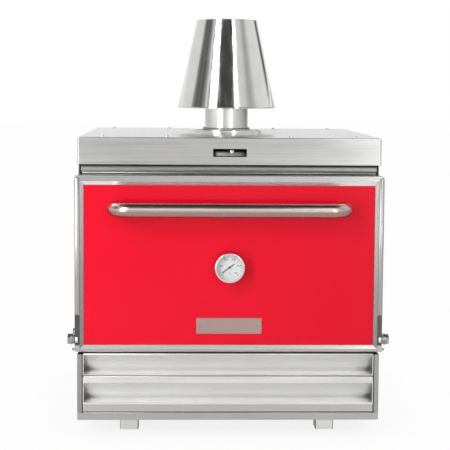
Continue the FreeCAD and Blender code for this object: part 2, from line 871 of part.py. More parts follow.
def make_flue():
    """Smoke collar, flue flange, flue pipe with its pegs, spark baffle and damper stud."""
    at_flue = ("0", "flue_back")
    sleeve = rod("collar_sleeve", "up", (*at_flue, "roof_low"), "collar_high - roof_low", "collar_out")
    foot = rod("collar_foot", "up", (*at_flue, "roof_high"), "collar_wall", "collar_out + collar_flange")
    bore = rod("collar_bore", "up", (*at_flue, "roof_low"), "collar_high - roof_low", "pipe_bore")
    piece("smoke_collar", cut("smoke_collar", fuse("collar_solid", [sleeve, foot]), bore))

    disc = round_slab("flange_disc", "top", "cover_high", at_flue, "flange_width / 2", "flange_height")
    top = disc.Shape.BoundBox.ZMax
    soften(disc, "Fillet", "Radius", "flange_round", lambda p: near(p.z, top))
    flange_bore = rod("flange_bore", "up", (*at_flue, "cover_high"), "flange_height",
                      "pipe_out + pipe_clear")
    piece("flue_flange", cut("flue_flange", disc, flange_bore))

    length = "pipe_high - pipe_low"
    pipe_shell = rod("pipe_shell", "up", (*at_flue, "pipe_low"), length, "pipe_out")
    pipe_hole = rod("pipe_hole", "up", (*at_flue, "pipe_low"), length, "pipe_bore")
    pegs = []
    for number in range(3):
        peg = rod(f"pipe_peg_{number}", "up", (*at_flue, "spider_low - run_clear - peg_width / 2"),
                  "pipe_out + peg_reach", "peg_width / 2")
        peg.Placement.Rotation = FreeCAD.Rotation(120 * number, 90, 0)
        pegs.append(peg)
    piece("flue_pipe", cut("flue_pipe", fuse("pipe_solid", [pipe_shell] + pegs), pipe_hole))

    baffle_low = "pipe_high + baffle_gap"
    cap = rod("baffle_cap", "up", (*at_flue, baffle_low), "baffle_thick", "pipe_bore - baffle_margin")
    legs = []
    for number in range(3):
        leg = doc.addObject("Part::Box", f"baffle_leg_{number}")
        bind(leg, "Length", "baffle_leg")
        bind(leg, "Width", "baffle_leg_width")
        bind(leg, "Height", "baffle_gap + baffle_leg_lap")
        turn = 120 * number + 60
        leg.Placement.Rotation = FreeCAD.Rotation(turn, 0, 0)
        reach = "(sqrt((pipe_bore - baffle_clear) ^ 2 - (baffle_leg_width / 2) ^ 2) - baffle_leg)"
        put(leg, f"{reach} * cos({turn}) + baffle_leg_width / 2 * sin({turn})",
            f"flue_back + {reach} * sin({turn}) - baffle_leg_width / 2 * cos({turn})",
            "pipe_high - baffle_leg_lap")
        legs.append(leg)
    piece("spark_baffle", fuse("spark_baffle", [cap] + legs))

    at_stud = ("0", "damper_back")
    shoulder = rod("stud_shoulder_ring", "up", (*at_stud, "neck_high"), "stud_shoulder - run_clear",
                   "stud_head / 2")
    shank = rod("stud_shank", "up", (*at_stud, "neck_high"), "stud_shoulder + damper_thick + run_clear",
                "stud_width / 2")
    head = rod("stud_cap", "up", (*at_stud, "damper_high + run_clear"), "collar_wall", "stud_head / 2")
    piece("damper_stud", fuse("damper_stud", [shoulder, shank, head]))


def make_damper():
    """Swinging damper plate and the knob that reaches through the fascia slot."""
    at_stud = ("0", "damper_back")
    rim = rod("damper_rim_disc", "up", (*at_stud, "damper_low"), "damper_thick", "damper_rim")
    disc_across = "-damper_throw * sin(damper_turn)"
    disc_back = "(damper_back + damper_throw * cos(damper_turn))"
    disc = rod("damper_shut_disc", "up", (disc_across, disc_back, "damper_low"), "damper_thick",
               "damper_disc")
    arm = doc.addObject("Part::Box", "damper_arm_plate")
    bind(arm, "Length", "damper_arm")
    bind(arm, "Width", "damper_throw")
    bind(arm, "Height", "damper_thick")
    bind(arm, "Placement.Rotation.Angle", "damper_turn")
    put(arm, "-damper_arm / 2 * cos(damper_turn)",
        "(damper_back - damper_arm / 2 * sin(damper_turn))", "damper_low")
    bore = rod("damper_bore", "up", (*at_stud, "damper_low"), "damper_thick", "stud_width / 2 + stud_clear")
    piece("damper_plate", cut("damper_plate", fuse("damper_blank", [rim, disc, arm]), bore))

    reach = "(damper_back - cover_setback + knob_reach + knob_ball / 2)"
    up = "damper_high + knob_rod / 2"
    start = ("knob_inside * sin(damper_rest)", "(damper_back - knob_inside * cos(damper_rest))", up)
    stem = doc.addObject("Part::Cylinder", "knob_stem")
    bind(stem, "Radius", "knob_rod / 2")
    bind(stem, "Height", f"{reach} - knob_inside")
    stem.Placement.Rotation = FreeCAD.Rotation(SIZES["damper_rest"], 0, 90)
    put(stem, *start)
    ball = doc.addObject("Part::Sphere", "knob_ball_end")
    bind(ball, "Radius", "knob_ball / 2")
    put(ball, f"{reach} * sin(damper_rest)", f"(damper_back - {reach} * cos(damper_rest))", up)
    piece("damper_knob", fuse("damper_knob", [stem, ball]))


def make_hat():
    """Open cone hat and the spider that holds it on the flue pipe."""
    at_hat = ("0", "flue_back", "hat_low")
    outer = cone("hat_outer", at_hat, "hat_height", "hat_bottom / 2", "hat_top / 2")
    inner_radii = ("hat_bottom / 2 - hat_wall", "hat_top / 2 - hat_wall")
    inner = cone("hat_inner", at_hat, "hat_height", *inner_radii)
    piece("hat_cone", cut("hat_cone", outer, inner))

    at_ring = ("0", "flue_back", "spider_low")
    ring = rod("spider_ring", "up", at_ring, "spider_height", "spider_out")
    arms = []
    for number in range(3):
        turn = 120 * number + 30
        arm = doc.addObject("Part::Box", f"spider_arm_{number}")
        bind(arm, "Length", "hat_bottom / 2")
        bind(arm, "Width", "spider_arm")
        bind(arm, "Height", "spider_height")
        arm.Placement.Rotation = FreeCAD.Rotation(turn, 0, 0)
        put(arm, f"spider_arm / 2 * sin({turn})", f"flue_back - spider_arm / 2 * cos({turn})", "spider_low")
        arms.append(arm)
    inside = cone("spider_limit", at_hat, "hat_height", *inner_radii)
    star = common("spider_star", fuse("spider_solid", [ring] + arms), inside)
    hole = rod("spider_hole", "up", at_ring, "spider_height", "spider_bore")
    piece("hat_spider", cut("hat_spider", star, hole))


def strap_screw_places():
    """Where each hinge strap is screwed to its side panel, back from the door's face."""
    rear = "(pivot_back + strap_length)"
    return (f"{rear} - strap_pad * 3 / 4", f"{rear} - strap_pad / 4")


def make_hinges():
    """Hinge straps on the side panels, their screws and the bolts that the door turns on."""
    rear = "(pivot_back + strap_length)"
    up = span("pivot_up", "strap_height")
    straps = []
    bolts = []
    screws = []
    for side in SIDES:
        across = on_side(side, "strap_in", "strap_out")
        bar = box(f"strap_bar_{side}", across, ("pivot_back", rear), up)
        lobe = rod(f"strap_lobe_{side}", "across", (across[0], "pivot_back", "pivot_up"), "strap_thick",
                   "strap_height / 2")
        pad_across = on_side(side, "half_body", "strap_out")
        seat = box(f"strap_seat_{side}", pad_across, (f"{rear} - strap_pad", rear), up)
        hole = rod(f"strap_bore_{side}", "across", (across[0], "pivot_back", "pivot_up"), "strap_thick",
                   "hinge_bolt / 2 + hinge_clear")
        stop_front = "(pivot_back + stop_back - stop_pin / 2 - stop_slack)"
        notch = box(f"strap_notch_{side}", across,
                    (stop_front, f"{stop_front} + stop_pin + 2 * stop_slack"),
                    ("pivot_up - strap_height / 2", "pivot_up - stop_drop + stop_pin / 2"))
        screw_holes = []
        for number, back in enumerate(strap_screw_places()):
            hole_start = (pad_across[0], back, "pivot_up")
            screw_holes.append(rod(f"strap_hole_{side}_{number}", "across", hole_start,
                                   "strap_out - half_body", "strap_screw / 2 + screw_clear"))
            shank_across = on_side(side, "half_inner", "strap_out")
            shank = rod(f"strap_shank_{side}_{number}", "across", (shank_across[0], back, "pivot_up"),
                        "strap_out - half_inner", "strap_screw / 2")
            head_across = on_side(side, "strap_out", "strap_out + strap_screw_head_height")
            head = hexagon(f"strap_head_{side}_{number}", (head_across[0], back, "pivot_up"),
                           "strap_screw_head_height", "strap_screw_head")
            screws.append(fuse(f"strap_screw_{side}_{number}", [shank, head]))
        solid = fuse(f"strap_solid_{side}", [bar, lobe, seat])
        straps.append(cut(f"hinge_strap_{side}", solid, hole, notch, *screw_holes))

        washer_out = "strap_out + washer_thick"
        washer_across = on_side(side, "strap_out", washer_out)
        washer = rod(f"bolt_washer_{side}", "across", (washer_across[0], "pivot_back", "pivot_up"),
                     "washer_thick", "washer_width / 2")
        head_across = on_side(side, washer_out, f"{washer_out} + bolt_head_height")
        head = hexagon(f"bolt_hex_{side}", (head_across[0], "pivot_back", "pivot_up"), "bolt_head_height",
                       "bolt_head")
        shank_across = on_side(side, "half_door - bolt_engage", "strap_out")
        shank = rod(f"bolt_shank_{side}", "across", (shank_across[0], "pivot_back", "pivot_up"),
                    "strap_out - half_door + bolt_engage", "hinge_bolt / 2")
        bolts.append(fuse(f"hinge_bolt_{side}", [washer, head, shank]))
    piece("hinge_straps", group("hinge_straps", straps))
    piece("hinge_bolts", group("hinge_bolts", bolts))
    piece("strap_screws", group("strap_screws", screws))


def door_outline(inset, low, top_inset):
    """The door's outline with its two lower corners cut away, drawn in by an inset."""
    wide = f"(half_door - {inset})"
    narrow = f"(notch_half - {inset})"
    notch = f"notch_high + {inset}"
    high = f"door_high - {top_inset}"
    right = [(narrow, low), (narrow, notch), (wide, notch), (wide, high)]
    left = [(f"-{across}", up) for across, up in reversed(right)]
    return right + left


def make_door():
    """Door frame, enamelled panel, core, liner with its plug, liner screws, hinge blocks and stop pins."""
    stem_bore = {"axis": "back", "start": ("0", "0", "gauge_up"), "length": "plug_back",
                 "radius": "stem_width / 2 + stem_clear"}
    blank = slab("door_blank", "front", "0", door_outline("0", "door_low", "0"), "door_depth")
    limits = blank.Shape.BoundBox
    soften(blank, "Fillet", "Radius", "door_corner",
           lambda p: near(abs(p.x), limits.XMax) and near(p.z, limits.ZMax))
    soften(blank, "Fillet", "Radius", "heel_round",
           lambda p: near(p.y, limits.YMin) and near(p.z, limits.ZMin))
    soften(blank, "Chamfer", "Size", "heel_chamfer",
           lambda p: near(p.y, limits.YMax) and near(p.z, limits.ZMin))

    def on_front_rim(point):
        at_side = abs(point.x) > limits.XMax - SIZES["door_corner"] - NEAR
        at_top = point.z > limits.ZMax - SIZES["door_corner"] - NEAR
        above_notch = point.z > limits.ZMin + SIZES["notch_height"] - NEAR
        return near(point.y, limits.YMin) and above_notch and (at_side or at_top)

    soften(blank, "Fillet", "Radius", "door_edge_round", on_front_rim)
    inside = door_outline("sheet_thick", "door_low + heel_bar", "sheet_thick")
    hollow = slab("door_hollow", "front", "door_face", inside, "door_depth - door_face")
    window_back = ("0", "door_face")
    window = box("door_window", both("window_half"), window_back, ("window_low", "window_high"))
    bevel = doc.addObject("Part::Wedge", "door_bevel")
    wedge_sides = {
        "Xmin": "-(window_half + bevel_width)", "Xmax": "window_half + bevel_width",
        "X2min": "-window_half", "X2max": "window_half",
        "Zmin": "window_low - bevel_width", "Zmax": "window_high + bevel_width",
        "Z2min": "window_low", "Z2max": "window_high",
        "Ymin": "0", "Ymax": "bevel_depth",
    }
    for prop, text in wedge_sides.items():
        bind(bevel, prop, text)
    put(bevel, "0", "0", "0")
    piece("door_frame", cut("door_frame", blank, hollow, window, bevel))

    panel_across = both("window_half - panel_gap")
    panel_up = ("window_low + panel_gap", "window_high - panel_gap")
    sheet = slab("panel_sheet", "front", "panel_recess", rectangle(panel_across, panel_up),
                 "door_face - panel_recess")
    face = sheet.Shape.BoundBox.YMin
    soften(sheet, "Fillet", "Radius", "panel_round", lambda p: near(p.y, face))
    piece("door_panel", cut("door_panel", sheet, rod("panel_stem_hole", **stem_bore)))

    bat = slab("core_bat", "front", "door_face", inside, "door_depth - door_face")
    plug_inside = (both("plug_half - liner_thick"), ("door_depth", "plug_back - liner_thick"),
                   ("plug_low + liner_thick", "plug_high - liner_thick"))
    fill = fuse("core_fill", [bat, box("core_plug", *plug_inside)])
    piece("door_core", cut("door_core", fill, rod("core_stem_hole", **stem_bore)))

    lining = slab("liner_sheet", "front", "door_depth", door_outline("0", "liner_low", "liner_thick"),
                  "liner_thick")
    plug = slab("liner_plug", "front", "liner_back",
                rectangle(both("plug_half"), ("plug_low", "plug_high")), "plug_depth")
    reach = plug.Shape.BoundBox
    corner_of_plug = upright_front_corners(reach)
    soften(plug, "Fillet", "Radius", "plug_round", lambda p: corner_of_plug(p) or near(p.y, reach.YMax))
    liner = fuse("liner_solid", [lining, plug])
    liner_hollow = box("liner_inside", *plug_inside)
    piece("door_liner", cut("door_liner", liner, liner_hollow, rod("liner_stem_hole", **stem_bore)))

    screws = []
    for side in SIDES:
        across = f"{SIGNS[side]}(half_door - liner_screw_inset)"
        for number, up in enumerate(("mouth_low", "(mouth_low + mouth_high) / 2", "mouth_high")):
            screws.append(pan_head(f"liner_screw_{side}_{number}", (across, "liner_back", up), "back"))
    piece("liner_screws", group("liner_screws", screws))

    block_front = "block_recess"
    block_rear = "(door_depth - block_recess)"
    block_low = "(door_low + block_recess)"
    profile = [
        (block_front, block_low),
        (f"{block_rear} - block_chamfer", block_low),
        (block_rear, f"{block_low} + block_chamfer"),
        (block_rear, "notch_high"),
        (block_front, "notch_high"),
    ]
    blocks = []
    pins = []
    for side in SIDES:
        across = on_side(side, "notch_half", "half_door")
        solid = slab(f"block_solid_{side}", "side", across[0], profile, "notch_width")
        bore = rod(f"block_bore_{side}", "across", (across[0], "pivot_back", "pivot_up"), "notch_width",
                   "hinge_bolt / 2 + hinge_clear")
        blocks.append(cut(f"hinge_block_{side}", solid, bore))
        pin_across = on_side(side, "half_door", "strap_out")
        pin_start = (pin_across[0], "pivot_back - stop_drop", "pivot_up - stop_back")
        pins.append(rod(f"stop_pin_{side}", "across", pin_start, "strap_out - half_door", "stop_pin / 2"))
    piece("hinge_blocks", group("hinge_blocks", blocks))
    piece("stop_pins", group("stop_pins", pins))


def upright_front_corners(limits):
    """A test for the four corner edges of a block that run from front to rear."""

    def wanted(point):
        at_side = near(point.x, limits.XMin) or near(point.x, limits.XMax)
        at_level = near(point.z, limits.ZMin) or near(point.z, limits.ZMax)
        return at_side and at_level

    return wanted


def bent_runs(name, radius):
    """The handle's runs: the straight grip, then a leg out of the door and a quarter bend on each side."""
    half = "handle_span / 2"
    leg = "handle_standoff + panel_recess - handle_bend"
    runs = [
        rod(f"{name}_grip", "across", (f"-({half} - handle_bend)", "-handle_standoff", "handle_up"),
            "handle_span - 2 * handle_bend", radius)
    ]
    bend_back = "(handle_bend - handle_standoff)"
    for side, start in zip(SIDES, (180, 270)):
        leg_start = (f"{SIGNS[side]}{half}", bend_back, "handle_up")
        runs.append(rod(f"{name}_leg_{side}", "back", leg_start, leg, radius))
        bend = doc.addObject("Part::Torus", f"{name}_bend_{side}")
        bind(bend, "Radius1", "handle_bend")
        bind(bend, "Radius2", radius)
        bend.Angle3 = 90
        bend.Placement.Rotation = FreeCAD.Rotation(start, 0, 0)
        put(bend, f"{SIGNS[side]}({half} - handle_bend)", bend_back, "handle_up")
        runs.append(bend)
    return runs


def make_handle():
    """Bent tube handle and the collars round its ends."""
    outer = bent_runs("handle_outer", "handle_tube / 2")
    inner = bent_runs("handle_inner", "handle_tube / 2 - handle_wall")
    tubes = [cut(f"handle_run_{number}", *pair) for number, pair in enumerate(zip(outer, inner))]
    piece("handle_bar", fuse("handle_bar", tubes))
    collars = []
    for side in SIDES:
        start = (f"{SIGNS[side]}handle_span / 2", "panel_recess - collar_thick", "handle_up")
        ring = rod(f"collar_ring_{side}", "back", start, "collar_thick", "collar_width / 2")
        hole = rod(f"collar_hole_{side}", "back", start, "collar_thick", "handle_tube / 2 + collar_clear")
        collars.append(cut(f"handle_collar_{side}", ring, hole))
    piece("handle_collars", group("handle_collars", collars))


def make_gauge():
    """Bimetal dial thermometer: case with its neck, dial, glass, stem and needle."""

    def disc(name, front, back, radius):
        return rod(name, "back", ("0", f"({front})", "gauge_up"), f"({back}) - ({front})", radius)

    cup = round_slab("gauge_cup", "front", "case_front", ("0", "gauge_up"), "gauge_half", "gauge_depth")
    rim = cup.Shape.BoundBox.YMin
    soften(cup, "Fillet", "Radius", "gauge_round", lambda p: near(p.y, rim))
    neck = disc("gauge_neck_bush", "case_back", "panel_recess", "gauge_neck / 2")
    boss = disc("gauge_boss", "dial_back", "case_floor", "gauge_neck / 2")
    hollow = disc("gauge_hollow", "bezel_back", "case_floor", "gauge_in")
    sight = disc("gauge_sight", "case_front", "bezel_back", "gauge_half - bezel_width")
    bore = disc("gauge_bore", "dial_back", "panel_recess", "stem_width / 2 + stem_clear")
    shell = cut("gauge_shell", fuse("gauge_solid", [cup, neck]), hollow, sight)
    piece("gauge_case", cut("gauge_case", fuse("gauge_body", [shell, boss]), bore))
    pin_hole = disc("dial_hole", "dial_front", "dial_back", "needle_pin / 2 + stud_clear")
    face = disc("dial_disc", "dial_front", "dial_back", "gauge_in - pipe_clear")
    piece("gauge_dial", cut("gauge_dial", face, pin_hole))
    piece("gauge_glass", disc("gauge_glass", "bezel_back", "glass_back", "gauge_in - pipe_clear"))
    probe = disc("gauge_stem", "dial_back + needle_lift", "plug_back + stem_inside", "stem_width / 2")
    piece("gauge_stem", probe)

    blade = doc.addObject("Part::Box", "needle_blade")
    bind(blade, "Length", "needle_width")
    bind(blade, "Width", "needle_thick")
    bind(blade, "Height", "needle_length + needle_tail")
    blade.Placement.Rotation = FreeCAD.Rotation(FreeCAD.Vector(0, 1, 0), 1)
    bind(blade, "Placement.Rotation.Angle", "needle_angle")
    put(blade, "-needle_width / 2 * cos(needle_angle) - needle_tail * sin(needle_angle)", "needle_front",
        "gauge_up + needle_width / 2 * sin(needle_angle) - needle_tail * cos(needle_angle)")
    hub = disc("needle_hub_disc", "needle_front - needle_thick", "needle_back", "needle_hub / 2")
    pin = disc("needle_pin_rod", "needle_back", "dial_back", "needle_pin / 2")
    piece("gauge_needle", fuse("gauge_needle", [blade, hub, pin]))


def make_name_plate():
    """Blank plate low on the door panel and its two rivets."""
    low = "door_low + plate_rise"
    front = "panel_recess - plate_thick"
    sheet = slab("plate_sheet", "front", front,
                 rectangle(both("plate_width / 2"), (low, f"{low} + plate_height")), "plate_thick")
    soften(sheet, "Fillet", "Radius", "plate_corner", upright_front_corners(sheet.Shape.BoundBox))
    piece("name_plate", sheet)
    rivets = []
    for side in SIDES:
        across = f"{SIGNS[side]}(plate_width / 2 - rivet_inset)"
        start = (across, f"{front} - rivet_height", f"{low} + plate_height / 2")
        rivets.append(rod(f"plate_rivet_{side}", "back", start, "rivet_height", "rivet_head / 2"))
    piece("plate_rivets", group("plate_rivets", rivets))


def pull_front(name, profile, back, up):
    """A folded front with a full-width finger pull, closed by a plate at each end."""
    sheet = slab(f"{name}_sheet", "side", "-front_half", profile, "2 * front_half")
    ends = [
        box(f"{name}_end_{side}", on_side(side, "front_half - sheet_thick", "front_half"), back, up)
        for side in SIDES
    ]
    return piece(name, fuse(name, [sheet] + ends))


def make_trays():
    """Drip tray and ash drawer, each a folded front with a pan behind it."""
    face = "lower_setback"
    inside = "lower_setback + sheet_thick"
    shelf = "drip_front_low + sheet_thick"
    valley = f"{shelf} + drip_shelf_rise"
    drip_profile = [
        ("drip_rear", "drip_front_high"),
        (face, "drip_front_high"),
        ("pull_back", valley),
        (face, shelf),
        (face, "drip_front_low"),
        ("drip_rear", "drip_front_low"),
        ("drip_rear", shelf),
        ("pull_back + 1.25 * sheet_thick", shelf),
        ("pull_back + 1.25 * sheet_thick", valley),
        ("lower_setback + 2 * sheet_thick", "drip_front_high - sheet_thick"),
        ("drip_rear", "drip_front_high - sheet_thick"),
    ]
    drip_up = ("drip_front_low", "drip_front_high")
    pull_front("drip_tray_front", drip_profile, (face, "drip_rear"), drip_up)
    drip_back = ("drip_rear", "drip_rear + drip_pan_length")
    piece("drip_tray_pan", pan("drip_tray_pan", both("pan_half"), drip_back, drip_up))

    shelf = "ash_front_low + ash_face"
    valley = f"{shelf} + ash_shelf_rise"
    lip = "ash_front_high - ash_lip"
    ash_profile = [
        ("ash_rear", "ash_front_high"),
        (face, "ash_front_high"),
        (face, lip),
        ("pull_back", valley),
        (face, shelf),
        (face, "ash_front_low"),
        ("ash_rear", "ash_front_low"),
        ("ash_rear", "ash_pan_low"),
        (inside, "ash_pan_low"),
        (inside, f"{shelf} - sheet_thick"),
        ("pull_back + 2 * sheet_thick", f"{valley} - sheet_thick"),
        (inside, f"{lip} + sheet_thick / 2"),
        (inside, "ash_front_high - sheet_thick"),
        ("ash_rear", "ash_front_high - sheet_thick"),
    ]
    pull_front("ash_drawer_front", ash_profile, (face, "ash_rear"), ("ash_front_low", "ash_front_high"))
    ash_back = ("ash_rear", "ash_rear + ash_pan_length")
    ash_up = ("ash_pan_low", "ash_pan_high")
    piece("ash_drawer_pan", pan("ash_drawer_pan", both("pan_half"), ash_back, ash_up))


def make_racks():
    """Two cooking racks that lie on the guides."""
    for level in ("upper", "lower"):
        low = f"mouth_low + rack_{level}_rise + run_clear"
        grille = slotted_plate(f"rack_{level}", both("rack_half"), ("rack_front", "rack_rear"), low,
                               "rack_thick", "rack_rim", "rack_bar", "rack_slots")
        piece(f"cooking_rack_{level}", grille)


def check():
    """Stop if any step failed or any sub-part isn't a sound solid."""
    doc.recompute()
    failed = [item.Label for item in doc.Objects if "Invalid" in item.State or "Error" in item.State]
    if failed:
        raise RuntimeError(f"steps that failed: {failed}")
    for item in pieces:
        if item.Shape.isNull() or not item.Shape.isValid() or not item.Shape.Solids:
            raise RuntimeError(f"sub-part without a sound solid: {item.Label}")


def write():
    """Write each sub-part to its own file."""
    os.makedirs("parts", exist_ok=True)
    for item in pieces:
        item.Shape.exportStep(f"parts/{item.Label}.step")


fill_sheet()
make_base()
make_cover()
make_firebox()
make_supports()
make_flue()
make_damper()
make_hat()
make_hinges()
make_door()
make_handle()
make_gauge()
make_name_plate()
make_trays()
make_racks()
check()
write()
for finished in pieces:
    print(finished.Label, len(finished.Shape.Solids), round(finished.Shape.Volume))
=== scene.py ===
"""Looks of the charcoal oven: a finish for every part, small fittings, studio and camera."""
import math

import bmesh
import bpy
from mathutils import Matrix, Vector


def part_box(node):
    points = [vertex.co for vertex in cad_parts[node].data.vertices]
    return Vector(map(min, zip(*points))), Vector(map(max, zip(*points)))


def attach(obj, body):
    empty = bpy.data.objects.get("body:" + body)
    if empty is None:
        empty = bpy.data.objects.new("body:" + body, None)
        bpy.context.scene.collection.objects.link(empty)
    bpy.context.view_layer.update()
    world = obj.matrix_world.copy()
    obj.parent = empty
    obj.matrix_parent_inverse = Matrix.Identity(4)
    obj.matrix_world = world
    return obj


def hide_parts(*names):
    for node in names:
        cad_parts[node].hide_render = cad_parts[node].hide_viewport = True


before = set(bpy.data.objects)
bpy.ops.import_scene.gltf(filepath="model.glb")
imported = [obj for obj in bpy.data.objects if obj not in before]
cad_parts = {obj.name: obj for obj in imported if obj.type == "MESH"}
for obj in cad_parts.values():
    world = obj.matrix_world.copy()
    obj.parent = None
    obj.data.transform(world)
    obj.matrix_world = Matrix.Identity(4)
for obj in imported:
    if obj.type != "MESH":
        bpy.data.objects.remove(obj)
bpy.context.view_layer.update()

scene = bpy.context.scene
scene.view_settings.view_transform = "Standard"

MM = 0.001
RIGHT = Vector((1, 0, 0))
BACK = Vector((0, 1, 0))
UP = Vector((0, 0, 1))

# Camera, fitted to the photograph's frame: metres, degrees and pixels, and millimetres for the sensor
PHOTO_SIDE = 450
CAMERA_PLACE = (-0.1080, -2.6453, 0.7529)
CAMERA_YAW = -1.5
CAMERA_PITCH = 4.0
CAMERA_ROLL = 0.39
FOCAL_PIXELS = 1129.4
AXIS_PIXEL = (208.8, 165.8)
SENSOR = 36.0


def linear(code):
    """An sRGB hex colour as linear light."""
    parts = [int(code[i:i + 2], 16) / 255 for i in (1, 3, 5)]
    return tuple(c / 12.92 if c <= 0.04045 else ((c + 0.055) / 1.055) ** 2.4 for c in parts) + (1.0,)


def add(tree, kind, inputs=None, **settings):
    """Add a node with its settings, and give each input, by its name or number, a value or a link."""
    node = tree.nodes.new(kind)
    for key, value in settings.items():
        setattr(node, key, value)
    for key, value in (inputs or {}).items():
        if isinstance(key, str):
            socket = next(s for s in node.inputs if s.enabled and s.name == key)
        else:
            socket = node.inputs[key]
        if isinstance(value, bpy.types.Node):
            value = next(s for s in value.outputs if s.enabled)
        if isinstance(value, bpy.types.NodeSocket):
            tree.links.new(value, socket)
        else:
            socket.default_value = value
    return node


def blank(name):
    """A new material with an empty node tree."""
    material = bpy.data.materials.new(name)
    material.use_nodes = True
    material.node_tree.nodes.clear()
    return material, material.node_tree


def new_finish(name):
    """A new material, its node tree, and the place of each point on its piece."""
    material, tree = blank(name)
    return material, tree, add(tree, "ShaderNodeTexCoord").outputs["Object"]


# Most values of a noise lie in this range
SPREAD = {"From Min": 0.3, "From Max": 0.7}
# Wiping goes from dull to pale, and rust and smoke come to show, over these ranges of their noise
WIPING = {"From Min": 0.35, "From Max": 0.65}
PATCHES = {"From Min": 0.45, "From Max": 0.75}

# Marks in brushed sheet
GRAIN_LENGTH = 260 * MM
GRAIN_WIDTH = 2.4 * MM
WIPED_LENGTH = 150 * MM
WIPED_WIDTH = 34 * MM
SCRATCH_DEPTH = 0.2 * MM
EDGE_ROUND = 0.8 * MM
EDGE_SAMPLES = 4
TONE_FADE = 2 * MM
# What the belt's lines and the wiping add to the tone of brushed sheet
LINE_SHARE = 0.62
WIPING_SHARE = 0.38
# How far a face looks along an axis: a side of the oven, a face that leans, a folded edge
SIDE_FACING = 0.7
LEAN_START = 0.1
LEAN_FULL = 0.4
EDGE_START = 0.3
EDGE_FULL = 0.7
# Share of its painted lean tone that a leaning face has where the grain and the smears are least
LEAN_LEAST = 0.75
# Open sky over an unshaded and a shaded nook, and the painted shade in nooks: it grows over a span
# toward the ends, from its share in the middle to its share at the ends
NOOK_REACH = 16 * MM
SKY_SAMPLES = 8
SKY_OPEN = 0.8
SKY_SHADED = 0.3
END_SHADE_FULL = 305 * MM
END_SHADE_FADE = 30 * MM
NOOK_SHADE_MIDDLE = 0.2
NOOK_SHADE_ENDS = 0.75


